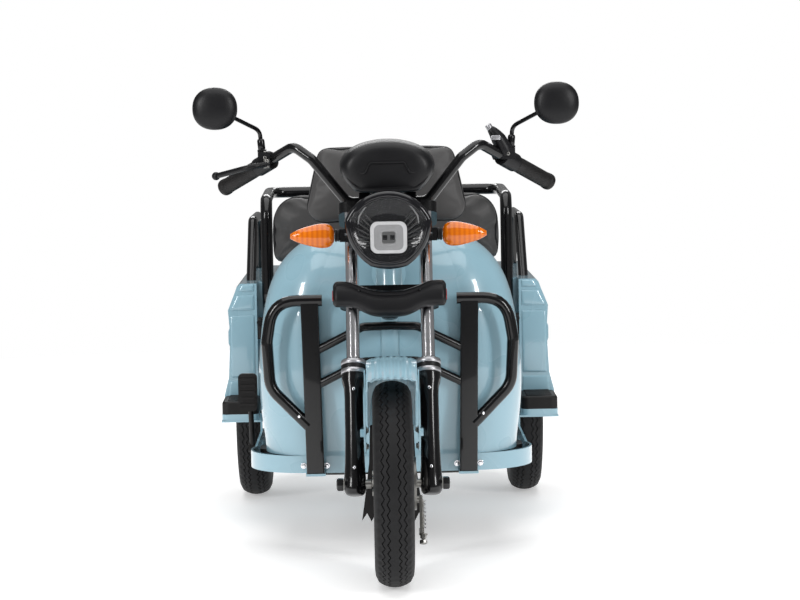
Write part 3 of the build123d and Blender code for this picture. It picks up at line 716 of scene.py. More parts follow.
def section_of(ob, upright, level, count=160):
    """The outline of a pad at one level, evenly spaced."""
    axis = 1 if upright else 2
    other = 3 - axis
    normal = Vector()
    normal[axis] = 1.0
    place = normal * (-level if upright else level)
    bm = bmesh.new()
    bm.from_mesh(ob.data)
    whole = bm.verts[:] + bm.edges[:] + bm.faces[:]
    cut = bmesh.ops.bisect_plane(bm, geom=whole, plane_co=place, plane_no=normal)
    points = [g.co.copy() for g in cut["geom_cut"] if isinstance(g, bmesh.types.BMVert)]
    bm.free()
    middle = sum(points, Vector()) / len(points)
    points.sort(key=lambda p: math.atan2(p[other] - middle[other], p.x - middle.x))
    total = len(points)
    for _ in range(3):
        points = [(points[i - 1] + points[i] + points[(i + 1) % total]) / 3 for i in range(total)]
    lengths = [(points[(i + 1) % total] - points[i]).length for i in range(total)]
    round_length = sum(lengths)
    even = []
    i = 0
    gone = 0.0
    for k in range(count):
        want = round_length * k / count
        while gone + lengths[i] < want:
            gone += lengths[i]
            i += 1
        t = (want - gone) / max(lengths[i], 1e-9)
        even.append(points[i].lerp(points[(i + 1) % total], t))
    return even


def cushion(name, node, body, outline, depths, upright, voxel, cap, crown, seam_level, cord=0.0028):
    low, high = depths
    ob = pad_shape(f"{name}_pad", outline, low, high, upright, voxel, crown)
    inflate(ob, low, upright, cap)
    for poly in ob.data.polygons:
        poly.use_smooth = True
    ob.data.materials.clear()
    ob.data.materials.append(MAT["vinyl"])
    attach(ob, body)
    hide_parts(node)
    seam_depth, seam_width = (0.0025, 0.0035) if upright else (0.003, 0.004)
    press_seam(ob, upright, seam_level, seam_depth, seam_width)
    piping = Piece()
    piping.tube(section_of(ob, upright, seam_level), cord, 8, True)
    piping.done(f"{name}_piping", "black_plastic", body, 0)
    finer = ob.modifiers.new("smooth", "SUBSURF")
    finer.levels = 1
    finer.render_levels = 1


cushion(
    "driver_seat", "driver_seat", "driver_seat", rounded_rectangle(0.165, 0.122, 0.06, 8, (0.0, -0.026)),
    (0.554, 0.624), False, 0.005, 0.009, 0.006, 0.606,
)
cushion(
    "driver_backrest", "driver_backrest", "chassis",
    four_sided((0.14, 0.85, 0.024), (0.151, 0.736, 0.038), 6),
    (-0.121, -0.081), True, 0.005, 0.007, 0.004, -0.098,
)
cushion(
    "bench", "bench_cushion", "chassis", rounded_rectangle(0.26, 0.163, 0.03, 6, (0.0, 0.513)),
    (0.4745, 0.55), False, 0.006, 0.01, 0.014, 0.53,
)
cushion(
    "passenger_backrest", "passenger_backrest", "chassis",
    four_sided((0.226, 0.676, 0.066), (0.27, 0.592, 0.022), 8),
    (-0.7375, -0.694), True, 0.005, 0.007, 0.004, -0.712, 0.0034,
)

# Seat hinge: the pin and its ears under the front of the seat
hinge_y = -0.139
hinge_z = 0.549
p = Piece()
p.lathe([(0.003, -0.05), (0.0035, -0.049), (0.0035, 0.049), (0.003, 0.05)],
        (0, hinge_y, hinge_z), (1, 0, 0), 16)
for side in sides:
    ear = [(-0.006, -0.004), (0.006, -0.004), (0.006, 0.006), (-0.006, 0.006)]
    p.plate(ear, 0.012, facing("left", (side * 0.024 - 0.006, hinge_y, hinge_z)), 0.001)
p.done("seat_hinge_pin", "steel", "driver_seat")

# Headlamp
lamp_face = -0.648
lamp_half = 0.088
lamp_low = 0.636
lamp_top = 0.795
projector_z = 0.7005


def lamp_outline(inset, steps=10):
    """The lamp's front outline, moved in, as points in x and z."""
    w = lamp_half - inset
    top = lamp_top - inset
    low = lamp_low + inset
    shoulder = (low + top) / 2 + 0.022
    corners = [(-w, shoulder), (w, shoulder), (w * 0.42, low + 0.006), (-w * 0.42, low + 0.006)]
    bulges = [(0.0, top), (w - 0.009, shoulder - 0.046), (0.0, low), (0.009 - w, shoulder - 0.046)]
    points = []
    for k in range(4):
        x, y, radius, angles = clockwise_arc(corners[k], bulges[k], corners[(k + 1) % 4], steps)
        points += [(x + radius * math.cos(t), y + radius * math.sin(t)) for t in angles[:-1]]
    return points


for name, smooth, rows in (
    # Rows of how far in from the lamp's outline, and how far back from its face
    ("lamp_bezel", 50, ((0.0152, 0.0005), (0.015, -0.0012), (0.0135, -0.0024), (0.0105, -0.0024),
                        (0.009, -0.0012), (0.0088, 0.0005))),
    ("lamp_bowl", 40, ((0.0155, 0.0075), (0.022, 0.01), (0.034, 0.0165), (0.046, 0.0195))),
):
    p = Piece()
    p.layers([(lamp_outline(inset), lamp_face + back) for inset, back in rows], "open")
    p.done(name, "gloss_black_plastic", "steering", smooth)

# Ribs fanned out at each side of the bowl, with a painted reflection, and a bright line of painted highlight
# over each side of the projector
p = Piece()
for side in sides:
    for k in range(7):
        a = math.radians(-34 + 13 * k)
        inner = Vector((side * 0.04 * math.cos(a), lamp_face + 0.0165, 0.703 + 0.034 * math.sin(a)))
        outer = Vector((side * 0.066 * math.cos(a * 0.85), lamp_face + 0.0095, 0.716 + 0.056 * math.sin(a)))
        p.tube([inner, inner.lerp(outer, 0.5) + Vector((0, -0.001, 0)), outer], [0.0016, 0.0023, 0.0014], 6)
# Painted reflection: the gloss black ribs are drawn as a dim glowing grey
p.done("lamp_ribs", "gloss_black_plastic", "steering", 50, look="painted_glow_dark")
p = Piece()
for side in sides:
    brow = [(0.028, 0.011, 0.772), (0.048, 0.0095, 0.762), (0.06, 0.009, 0.744), (0.062, 0.009, 0.728)]
    p.tube([(side * x, lamp_face + back, z) for x, back, z in brow], [0.0006, 0.0016, 0.0018, 0.0006], 8)
# Painted highlight: the chrome lines are drawn as a glowing grey
p.done("lamp_brow_lines", "chrome", "steering", 50, look="painted_glow_grey")

# Painted light: the chrome frame is drawn as a glowing white and the aluminium cell as a glowing grey,
# standing in for the light and reflections they catch through the lens
for name, slot, look, ends, rows in (
    # Rows of half width, corner radius, and how far back from the lamp's face
    ("projector_frame", "chrome", "painted_glow_white", "open", (
        (0.0376, 0.015, 0.007), (0.037, 0.0145, 0.005), (0.0345, 0.013, 0.0044),
        (0.033, 0.012, 0.0048), (0.03, 0.011, 0.0056),
    )),
    ("projector_cell", "aluminium", "painted_glow_grey", "capped", (
        (0.03, 0.011, 0.0056), (0.0275, 0.01, 0.0049), (0.0185, 0.007, 0.005),
        (0.017, 0.006, 0.0055), (0.014, 0.005, 0.0056),
    )),
):
    p = Piece()
    p.layers([
        (rounded_rectangle(half, half * 0.87, radius, 6, (0.0, projector_z)), lamp_face + back)
        for half, radius, back in rows
    ], ends)
    p.done(name, slot, "steering", 40, look=look)
p = Piece()
for x in (-0.0075, 0.0075):
    chip = rounded_rectangle(0.0045, 0.005, 0.001, 3)
    p.plate(chip, 0.0008, facing("front", (x, lamp_face + 0.0056, projector_z)), 0.0002)
p.done("projector_chips", "black_plastic", "steering", 40)

# Lamp brackets' bolts and the collars of the turn signals
signal_y = -0.56
signal_z = 0.702
p = Piece()
for side in sides:
    for z in (0.742, 0.692):
        p.bolt((side * 0.0585, -0.576, z), (side, 0, 0), 0.012, 0.006)
    p.bolt((side * leg_x, -0.561, signal_z), (0, -1, 0))
p.done("lamp_bolts", "steel", "steering")
p = Piece()
for side in sides:
    p.lathe([
        (0.0095, 0.0), (0.0125, 0.002), (0.0125, 0.004), (0.011, 0.005), (0.013, 0.007), (0.013, 0.009),
        (0.011, 0.0105),
    ], (side * 0.1008, signal_y, signal_z), (side, 0, 0), 24)
p.done("signal_collars", "rubber", "steering")

# Fork legs: round castings that swell at the foot and under the rings
ring_s = 0.232
p = Piece()
for side in sides:
    foot = at_steering(side * leg_x, -offset, 0.0)
    p.lathe([
        (0.01, -0.0235), (0.017, -0.0215), (0.0205, -0.017), (0.0225, -0.008), (0.0228, 0.006),
        (0.0218, 0.02), (0.0204, 0.04), (0.0196, 0.07), (0.019, 0.1), (0.019, 0.185),
        (0.0202, 0.202), (0.0232, 0.213), (0.0245, 0.222), (0.0247, 0.2318),
    ], foot, up_steering, 44)
    p.lathe([(0.015, -0.0175), (0.0175, -0.0165), (0.0175, 0.0165), (0.015, 0.0175)], foot, (1, 0, 0), 36)
p.done("fork_leg_castings", "black_paint", "steering", 50, ("fork_legs",))
p = Piece()
for side in sides:
    for start in (0.2323, 0.251):
        place = at_steering(side * leg_x, -offset, start)
        p.lathe([(0.0248, 0.0), (0.0255, 0.0006), (0.0255, 0.0088), (0.0248, 0.0094)], place, up_steering, 44)
p.done("fork_rings", "aluminium", "steering", 50)
p = Piece()
for side in sides:
    for profile in (
        [(0.0232, 0.0098), (0.0252, 0.0102), (0.0252, 0.0188), (0.0232, 0.0192)],
        [(0.0251, 0.0288), (0.0235, 0.03), (0.019, 0.0325), (0.016, 0.0335), (0.0146, 0.033)],
        [(0.0251, -0.002), (0.0256, -0.0014), (0.0256, -0.0004), (0.0246, 0.0002)],
    ):
        p.lathe(profile, at_steering(side * leg_x, -offset, ring_s), up_steering, 40)
p.done("fork_seals", "black_plastic", "steering")
p = Piece()
for side in sides:
    for s_at, reach in ((0.196, 0.0185), (0.028, 0.024)):
        p.button(at_steering(side * leg_x, -offset - reach, s_at), -back_steering, 0.0038, 0.0026)
p.done("fork_screws", "chrome", "steering")

# Front axle: six-sided caps on washers
p = Piece()
for side in sides:
    p.lathe([(0.0135, -0.001), (0.014, 0.001), (0.014, 0.009), (0.012, 0.012), (0.008, 0.0135),
             (0.0001, 0.0138)], (side * 0.1015, front_y, tyre_r), (side, 0, 0), 6)
    p.lathe([(0.0155, -0.006), (0.0165, -0.005), (0.0165, -0.003), (0.015, -0.0015)],
            (side * 0.1, front_y, tyre_r), (side, 0, 0), 28)
p.done("axle_caps", "black_paint", "steering")

# Front brake: the adjuster's rod with its spring and nuts, at the tip of the brake arm
arm_tip = Vector((0.058, front_y - 0.045, tyre_r - 0.09))
rod_way = (0, -0.4, -0.9)
p = Piece()
coil = [arm_tip + Vector((q.x, q.y + q.z * 0.42, 0.006 + q.z)) for q in helix(0.0055, 7, 10, 0.052)]
p.tube(coil, 0.0009, 6)
p.tube([arm_tip + Vector((0, -0.007, -0.016)), arm_tip + Vector((0, 0.024, 0.06))], 0.0022)
p.bolt(arm_tip + Vector((0, -0.003, -0.006)), rod_way, 0.011, 0.009)
p.lathe([(0.0065, 0.0), (0.0075, 0.001), (0.0075, 0.007), (0.006, 0.008)],
        arm_tip + Vector((0.0, -0.0075, -0.017)), rod_way, 8)
p.done("brake_adjuster", "steel", "steering")

# Clamp cover: a pillowed moustache with a crease under its upper edge, and a reflector at each end
cover_back = -0.0665
cover_middle_back = -0.072
cover_front = -0.0902
cover_rows = smooth_through([
    # distance from the middle, lower edge, upper edge
    (0.0, 0.3475, 0.4005), (0.02, 0.3478, 0.4012), (0.036, 0.3505, 0.4038), (0.05, 0.3565, 0.4085),
    (0.064, 0.364, 0.414), (0.076, 0.3685, 0.419), (0.09, 0.3698, 0.4225), (0.105, 0.3702, 0.423),
    (0.112, 0.3716, 0.4214), (0.1165, 0.377, 0.416),
], 3)
p = Piece()
rings = []
for x, low, high in [(-q.x, q.y, q.z) for q in reversed(cover_rows[1:])] + cover_rows:
    end = max(0.0, (abs(x) - 0.108) / 0.0085)
    front = cover_front + 0.006 * end ** 2
    section = [
        (low + 0.001, cover_back), (low, cover_middle_back), (low + 0.0004, -0.079),
        (low + 0.003, front + 0.0055), (low + 0.0075, front + 0.0022), (low + 0.014, front + 0.0006),
        ((low + high) / 2, front),
        (high - 0.015, front + 0.0006), (high - 0.0122, front + 0.0024), (high - 0.01, front + 0.0008),
        (high - 0.005, front + 0.002), (high - 0.0012, front + 0.0058), (high, front + 0.012),
        (high - 0.0005, cover_middle_back), (high - 0.0015, cover_back),
    ]
    rings.append([at_steering(x, back, s_at) for s_at, back in section])
p.grid(rings)
p.done("clamp_cover_shell", "black_plastic", "steering", 60, ("clamp_cover",))
p = Piece()
for side in sides:
    place = Matrix.Translation(at_steering(side * 0.116, -0.0775, 0.392))
    turn = Matrix.Rotation(-rake, 4, "X") @ Matrix.Rotation(side * tau / 4, 4, "Y")
    p.plate(rounded_rectangle(0.011, 0.006, 0.002, 3), 0.002, place @ turn, 0.0008)
p.done("side_reflectors", "red_lens", "steering", 40)
p = Piece()
for side in sides:
    p.button(at_steering(side * 0.062, -0.0896, 0.398), -back_steering, 0.003, 0.0016)
p.done("cover_screws", "black_paint", "steering")

# Handlebar: the last straight of its tube, from the bend to the tip of the left grip
bar_bend = Vector((0.196, -0.43, 0.886))
grip_end = Vector((0.352, -0.262, 0.797))
grip_way = (grip_end - bar_bend).normalized()


def along_bar(distance, side):
    """A point on the bar's end, measured back from its tip."""
    return mirrored(grip_end - grip_way * distance, side)


# Grips: ribs all round, and a collar and plug at the end
p = Piece()
for side in sides:
    way = mirrored(grip_way, side)
    for k in range(22):
        p.lathe([(0.0164, -0.0013), (0.0173, -0.0005), (0.0173, 0.0005), (0.0164, 0.0013)],
                along_bar(0.012 + 0.0042 * k, side), way, 28)
    p.lathe([(0.0166, -0.01), (0.0182, -0.008), (0.0185, 0.0), (0.0178, 0.0035), (0.015, 0.0052),
             (0.011, 0.0056), (0.0105, 0.0042), (0.0001, 0.004)], along_bar(-0.0005, side), way)
p.done("grip_ribs", "rubber", "steering", 40)

# Clamp caps over the handlebar, with two bolts each
bar_back = -0.02
bar_s = 0.622
cap_x = 0.048
p = Piece()
for side in sides:
    rings = []
    for u, reach in ((-0.0125, 0.015), (-0.0115, 0.0165), (0.0115, 0.0165), (0.0125, 0.015)):
        middle = at_steering(side * cap_x, bar_back, bar_s) + Vector((u, 0, 0))
        oval = ring(1.12 * reach, 36, 0.0, reach)
        rings.append([middle + back_steering * x + up_steering * y for x, y, _ in oval])
    p.grid(rings)
    for back in (-0.0135, 0.0135):
        p.bolt(at_steering(side * cap_x, bar_back + back, bar_s + 0.014), up_steering, 0.008)
p.done("bar_clamp_caps", "black_paint", "steering")

# Hand controls: screws on both pods and the pivot of the brake lever
p = Piece()
for side in sides:
    pod = along_bar(0.146, side)
    p.button(pod + Vector((0.0, -0.0278, 0.012)), (0, -1, 0), 0.0042, 0.0024)
    p.button(pod + Vector((0.0, -0.014, 0.0238)), (0, 0, 1), 0.0046, 0.0026)
p.lathe([(0.005, -0.01), (0.0072, -0.009), (0.0072, 0.009), (0.005, 0.01)], (-0.2555, -0.395, 0.8495),
        (0, 0, 1), 18)
p.done("lever_fittings", "steel", "steering")

# Light switch: it stands up from the left-hand pod, with a grey knob and key
pod = along_bar(0.15, 1)
p = Piece()
p.tube(smooth_through([
    pod + Vector((0.0, -0.01, 0.008)), pod + Vector((-0.01, -0.013, 0.03)),
    pod + Vector((-0.024, -0.016, 0.052)), pod + Vector((-0.036, -0.018, 0.066)),
], 4), [0.017] * 4 + [0.016] * 3 + [0.0145, 0.013, 0.0115, 0.01, 0.0085, 0.006], 16)
p.tube([pod + Vector((-0.018, -0.006, 0.004)), pod + Vector((-0.03, -0.012, 0.026))], [0.013, 0.01], 14)
p.done("switch_housing", "black_plastic", "steering", 50)
p = Piece()
p.lathe([(0.0058, 0.0), (0.0068, 0.001), (0.007, 0.01), (0.006, 0.0125), (0.0001, 0.013)],
        pod + Vector((-0.034, -0.018, 0.062)), (-0.49, 0, 0.87), 20)
key_place = pod + Vector((-0.024, -0.031, 0.045))
p.plate(rounded_rectangle(0.01, 0.005, 0.002, 3), 0.003, facing("front", key_place), 0.001)
p.done("switch_knob", "aluminium", "steering")

# Mirrors: domed shells, their stems, the glass and the nuts
mirror_x = 0.362
mirror_y = -0.418
mirror_z = 0.968
mirror_half_x = 0.0475
mirror_half_z = 0.045
stem_radius = 0.0046
shell_rows = [
    # share of the outline, distance behind the mirror's middle
    (0.93, 0.0106), (0.975, 0.0102), (1.0, 0.0075), (1.0, 0.002), (0.985, -0.004), (0.94, -0.009),
    (0.85, -0.013), (0.7, -0.0164), (0.5, -0.0188), (0.27, -0.0204), (0.08, -0.021),
]


def squared(value):
    """A cosine or sine for an outline that is a little squarer than an ellipse."""
    return math.copysign(abs(value) ** 0.9, value)


for side in sides:
    name = "left" if side > 0 else "right"
    p = Piece()
    p.layers([([
        (side * mirror_x + mirror_half_x * share * squared(c), mirror_z + mirror_half_z * share * squared(s))
        for c, s, _ in ring(1.0, 56)
    ], mirror_y + back) for share, back in shell_rows])
    p.done(f"mirror_shell_{name}", "black_plastic", "steering", 60, ("mirrors",))
    foot = mirrored((0.2657, -0.3589, 0.868), side)
    bend = mirrored((0.2705, -0.364, 0.92), side)
    head = mirrored((0.344, -0.428, 0.96), side)
    way = (bend - foot).normalized()
    stem = [foot, foot + way * 0.038]
    for k in range(9):
        share = k / 8
        near = bend - way * 0.012 * (1 - share)
        stem.append(near.lerp(bend + (head - bend).normalized() * 0.016 * share, share))
    stem.append(head)
    p = Piece()
    p.tube(stem, stem_radius, 14)
    p.lathe([(0.0072, 0.0), (0.008, 0.001), (0.008, 0.03), (0.0066, 0.0335), (0.0048, 0.0345)],
            foot, way, 28)
    p.lathe([(0.0048, -0.012), (0.0075, -0.008), (0.0082, 0.0), (0.007, 0.004)], head, head - bend, 24)
    p.done(f"mirror_stem_{name}", "black_paint", "steering", 50, ("mirror_stems",))
    p = Piece()
    p.grid([
        ring(0.044 * share, 48, lift, 0.0415 * share)
        for share, lift in ((0.955, 0.0), (0.95, 0.001), (0.9, 0.0014), (0.6, 0.0022), (0.25, 0.0026))
    ], facing("back", (side * mirror_x, mirror_y + 0.01, mirror_z)))
    p.done(f"mirror_glass_{name}", "mirror", "steering", 40)
    p = Piece()
    p.lathe([(0.0085, 0.003), (0.01, 0.004), (0.01, 0.011), (0.0085, 0.012)], foot, way, 6)
    p.done(f"mirror_nut_{name}", "black_paint", "steering")

# Instrument cowl: a broad hood, smooth at the top, with a raised visor in its front
cowl_middle = 0.846
cowl_outline = smooth_through([(x, z, 0.0) for x, z in symmetric([
    (0.0, 0.0535), (0.034, 0.0505), (0.066, 0.0405), (0.088, 0.025), (0.099, 0.006), (0.0985, -0.012),
    (0.09, -0.03), (0.077, -0.0455), (0.06, -0.056), (0.0, -0.059),
])], 5, True)
cowl_rows = [
    # share of the outline, how far it drops, place along the vehicle
    (0.8, 0.0, -0.4445), (0.86, 0.0, -0.445), (0.93, 0.0, -0.45), (0.98, 0.0, -0.464),
    (1.0, 0.0, -0.486), (0.995, 0.0, -0.508), (0.98, 0.001, -0.528), (0.955, 0.002, -0.542),
    (0.915, 0.003, -0.552), (0.85, 0.004, -0.559), (0.76, 0.005, -0.563), (0.6, 0.006, -0.565),
    (0.3, 0.007, -0.566),
]
p = Piece()
p.layers([
    ([(q.x * share, cowl_middle - drop + q.y * share) for q in cowl_outline], y)
    for share, drop, y in cowl_rows
])
p.done("instrument_cowl_shell", "black_plastic", "steering", 60, ("instrument_cowl",))
visor = symmetric([
    (0.0, 0.007), (0.033, 0.007), (0.037, 0.005), (0.046, -0.012), (0.05, -0.015),
    (0.062, -0.0152), (0.076, -0.014), (0.085, -0.015), (0.085, -0.026), (0.076, -0.039),
    (0.066, -0.048), (0.056, -0.053), (0.028, -0.055), (0.0, -0.0555),
])
p = Piece()
rings = []
for grow, y in ((0.0, -0.556), (0.0, -0.5708), (-0.001, -0.5722), (-0.0034, -0.5722), (-0.005, -0.5694)):
    points = []
    for x, z in visor:
        heart = Vector((x * 0.75, -0.028))
        way = Vector((x, z)) - heart
        q = heart + way * (1.0 + grow / way.length)
        points.append((q.x, y + 0.021 * (abs(q.x) / 0.09) ** 2.3, cowl_middle + q.y))
    rings.append(points)
p.grid(rings)
p.done("cowl_visor", "black_plastic", "steering", 40)

# Display in the back of the instrument cowl
display_z = 0.847
p = Piece()
p.plate(rounded_rectangle(0.063, 0.027, 0.011), 0.0022, facing("back", (0, -0.4463, display_z)), 0.0008)
p.done("display_glass", "gloss_black_plastic", "steering", 40)
p = Piece()
rings = []
for grow, depth in ((0.0, 0.0), (0.0012, 0.0016), (0.0034, 0.0016), (0.0046, 0.0)):
    rings.append([(x, y, depth) for x, y in rounded_rectangle(0.064 + grow, 0.028 + grow, 0.012 + grow)])
p.grid(rings, facing("back", (0, -0.4449, display_z)), "open")
p.done("display_frame", "black_plastic", "steering", 50)

# Front fender: a crown pressed with flutes, deep skirts, and the two stays that carry it
fender_crown = 0.2568
fender_half = 0.0505
fender_start = -28.0
fender_end = 69.5
fender_sheet = 0.0026
flute_pitch = 0.014
skirt = [(0.051, 0.233), (0.0518, 0.227), (0.0512, 0.2248), (0.0494, 0.2248), (0.0482, 0.227)]


def fender_radius(x):
    """Radius of the fender's outer face at a distance from its middle."""
    flute = 0.0011 * math.cos(tau * x / flute_pitch) if abs(x) < 0.04 else 0.0
    return fender_crown - 0.0085 * min(1.0, abs(x) / 0.051) ** 3.2 + flute


def round_axle(x, r, degrees):
    a = math.radians(degrees)
    return x, front_y + r * math.sin(a), tyre_r + r * math.cos(a)


p = Piece()
across = [fender_half * (k / 36 - 1.0) for k in range(73)]
rings = []
for n in range(57):
    share = n / 56
    plain = fender_start + (fender_end - fender_start) * share
    flare = 0.0016 * max(0.0, 1.0 - share * 30)
    outer = []
    inner = []
    for x in across:
        scallop = 0.8 * max(0.0, 1.0 - share * 14) * math.cos(tau * x / flute_pitch)
        outer.append(round_axle(x, fender_radius(x) + flare, plain - scallop))
        inner.append(round_axle(x * 0.95, fender_radius(x) - fender_sheet, plain - scallop))
    right = [round_axle(x, r, plain) for x, r in skirt]
    left = [round_axle(-x, r, plain) for x, r in reversed(skirt)]
    rings.append(outer + right + inner[::-1] + left)
p.grid(rings)
for side in sides:
    stay = facing("left", (side * 0.053 - (0.0 if side > 0 else 0.0025), front_y, 0.0))
    p.plate(rounded_rectangle(0.0135, 0.085, 0.01, 6, (0.0, 0.355)), 0.0025, stay, 0.0006)
    p.plate(rounded_rectangle(0.037, 0.012, 0.008, 6, (0.023, 0.308)), 0.0025, stay, 0.0006)
    spacer = facing("left", (side * 0.06 - 0.005, front_y + 0.04, 0.308))
    p.plate(rounded_rectangle(0.019, 0.008, 0.003, 4), 0.008, spacer, 0.0006)
p.done("front_fender_shell", "blue_paint", "steering", 50, ("front_fender",))
p = Piece()
for side in sides:
    for z in (0.28, 0.311):
        p.bolt((side * 0.053, front_y + (z - tyre_r) * math.tan(rake), z), (-side, 0, 0))
for x in (-0.024, 0.024):
    p.bolt((x, -0.4778, 0.221), (0, 1, 0), 0.009, 0.004)
p.done("fender_bolts", "steel", "steering")

# Guard: flat posts, bent loops and cross tubes that end at the posts, with bolts at the feet
post_y = -0.426
post_half = 0.019
post_depth = 0.011
loop_top = 0.558
p = Piece()
for side in sides:
    rings = []
    for grow, z in ((-0.002, 0.1882), (0.0, 0.189), (0.0, 0.555), (-0.002, 0.5562)):
        middle = (0.163 + 0.007 * (z - 0.18) / 0.376, post_y)
        post = rounded_rectangle(post_half + grow, post_depth + grow, 0.003, 4, middle)
        rings.append([(side * x, y, z) for x, y in post])
    p.grid(rings)
    p.tube([mirrored(q, side) for q in bent([
        (0.143, post_y, loop_top), (0.248, post_y, loop_top), (0.262, post_y + 0.003, 0.47),
        (0.257, post_y + 0.003, 0.372), (0.176, post_y, 0.29),
    ], 0.06)], 0.0124, 20)
for z in (0.503, 0.429):
    half = [(0.0, post_y - 0.016, z), (0.058, post_y - 0.014, z - 0.002), (0.156, post_y, z - 0.052)]
    p.tube(bent([mirrored(q, -1) for q in reversed(half[1:])] + half, 0.03), 0.0094, 16)
p.done("front_guard_tubes", "black_paint", "chassis", 45, ("front_guard",))
p = Piece()
for side in sides:
    for x, y in ((0.14, -0.3906), (0.19, -0.3885)):
        p.bolt((side * x, y, 0.199), (0, -1, 0), 0.008, 0.004)
    p.button((side * 0.196, post_y - 0.0122, 0.312), (side * 0.3, -0.9, 0.2), 0.0035, 0.002)
p.done("guard_bolts", "chrome", "chassis")

# Shield: a raised ridge down its middle, and a shroud round the steering head
ridge_rows = smooth_through([
    # height, front of the shield
    (0.226, -0.3985, 0.0), (0.34, -0.41, 0.0), (0.45, -0.414, 0.0), (0.545, -0.408, 0.0),
    (0.59, -0.3985, 0.0),
], 5)
ridge_section = [
    (-0.02, 0.004), (-0.0184, 0.0), (-0.0172, -0.0036), (-0.015, -0.0048), (0.015, -0.0048),
    (0.0172, -0.0036), (0.0184, 0.0), (0.02, 0.004),
]
p = Piece()
p.grid([[(x, q.y + back, q.x) for x, back in ridge_section] for q in ridge_rows])
p.done("shield_ridge", "blue_paint", "chassis", 40)
p = Piece()
p.lathe([
    (0.04, 0.0), (0.039, 0.004), (0.035, 0.01), (0.03, 0.016), (0.0265, 0.022), (0.024, 0.023),
    (0.0235, 0.02),
], (0.0, -0.386, 0.603), (0, -1, 0.087), 48)
p.lathe([
    (0.0246, 0.426), (0.0268, 0.4265), (0.0275, 0.429), (0.0275, 0.553), (0.0268, 0.5555), (0.0246, 0.556),
], at_steering(0.0, 0.0, 0.0), up_steering, 48)
p.done("head_shroud", "blue_paint", "chassis", 50)
p = Piece()
p.lathe([(0.012, 0.37), (0.0165, 0.3705), (0.018, 0.3725), (0.018, 0.395)], at_steering(0.0, 0.0, 0.0),
        up_steering)
p.done("stem_foot", "black_paint", "steering", 50)

# Mudflap: spread at its foot, with a scalloped lower edge
flap_front = -0.4965
flap_top = 0.2985
flap_thickness = 0.003
flap = symmetric([
    (0.0, 0.0), (0.046, 0.0), (0.049, -0.08), (0.058, -0.15), (0.066, -0.204), (0.055, -0.188),
    (0.046, -0.206), (0.035, -0.186), (0.023, -0.202), (0.012, -0.185), (0.0, -0.2),
])[1:]
p = Piece()
p.grid([
    [(x, flap_front - lift - 0.03 * drop, flap_top + drop) for x, drop in flap]
    for lift in (0.0, 0.0004, 0.0026, flap_thickness)
])
p.done("mudflap_sheet", "rubber", "steering", 30, ("mudflap",))

# Shield's edge: a rubber strip round its open back
strip_half = [Vector(q) for q in (
    (0.264, -0.231, 0.2203), (0.275, -0.235, 0.34), (0.272, -0.237, 0.45), (0.259, -0.239, 0.545),
    (0.231, -0.243, 0.622), (0.19, -0.249, 0.668), (0.124, -0.261, 0.694), (0.062, -0.264, 0.6945),
)]
strip = strip_half + [Vector((0.0, -0.264, 0.6945))] + [mirrored(q, -1) for q in reversed(strip_half)]
p = Piece()
p.tube(smooth_through(strip), 0.0034, 8)
p.done("shield_edge_strip", "rubber", "chassis", 50)

# Mats: raised ribs on the driver's mat, the rear mat and the step pads
p = Piece()
for half_x, half_y, radius, rows, pitch, x, first_y, z, height in (
    (0.262, 0.0026, 0.0024, 6, 0.0118, 0.0, -0.204, 0.2129, 0.0022),
    (0.06, 0.0026, 0.0024, 6, 0.0125, 0.0, 0.122, 0.2129, 0.0022),
    (0.03, 0.0036, 0.003, 8, 0.0152, -0.348, 0.078, 0.2878, 0.002),
    (0.03, 0.0036, 0.003, 8, 0.0152, 0.348, 0.078, 0.2878, 0.002),
):
    rib = rounded_rectangle(half_x, half_y, radius, 3)
    for k in range(rows):
        p.plate(rib, height, Matrix.Translation((x, first_y + pitch * k, z)), 0.0007)
p.done("mat_ribs", "rubber", "chassis", 40)

# Steps: a blue lip wraps the foot of each pad
p = Piece()
for side in sides:
    rings = []
    for grow, z in ((0.0, 0.2402), (0.0008, 0.2408), (0.0008, 0.2574), (0.0, 0.2582), (-0.002, 0.2582)):
        lip = rounded_rectangle(0.0425 + grow, 0.0675 + grow, 0.0165, 6, (side * 0.3485, 0.1295))
        rings.append([(x, y, z) for x, y in lip])
    p.grid(rings, ends="open")
p.done("step_lips", "blue_paint", "chassis", 40)

# Rear springs: real coils round their dampers
spring_low = 0.2342
spring_high = 0.304
p = Piece()
for side in sides:
    x = side * 0.222
    p.lathe([(0.012, 0.0), (0.024, 0.0005), (0.026, 0.002), (0.026, 0.004), (0.012, 0.0055)],
            (x, rear_y, spring_low), (0, 0, 1), 28)
    p.lathe([(0.0118, 0.002), (0.0118, spring_high - spring_low - 0.002)],
            (x, rear_y, spring_low), (0, 0, 1), 20)
    wire_start = Vector((x, rear_y, spring_low + 0.009))
    p.tube([wire_start + q for q in helix(0.022, 4.5, 20, 0.054)], 0.0042, 8)
p.done("spring_coils", "black_paint", "chassis", 45, ("rear_springs",))

# Rear lamps: screws in the lens, and an amber window
tail_lamp_x = 0.336
p = Piece()
for side in sides:
    for z in (0.418, 0.482):
        p.button((side * tail_lamp_x, 0.9042, z), (0, 1, 0), 0.004, 0.0022)
p.done("tail_lamp_screws", "steel", "chassis")
p = Piece()
for side in sides:
    window = rounded_rectangle(0.028, 0.013, 0.004, 4)
    p.plate(window, 0.0022, facing("back", (side * tail_lamp_x, 0.9035, 0.462)), 0.0009)
p.done("tail_lamp_windows", "amber_lens", "chassis", 40)

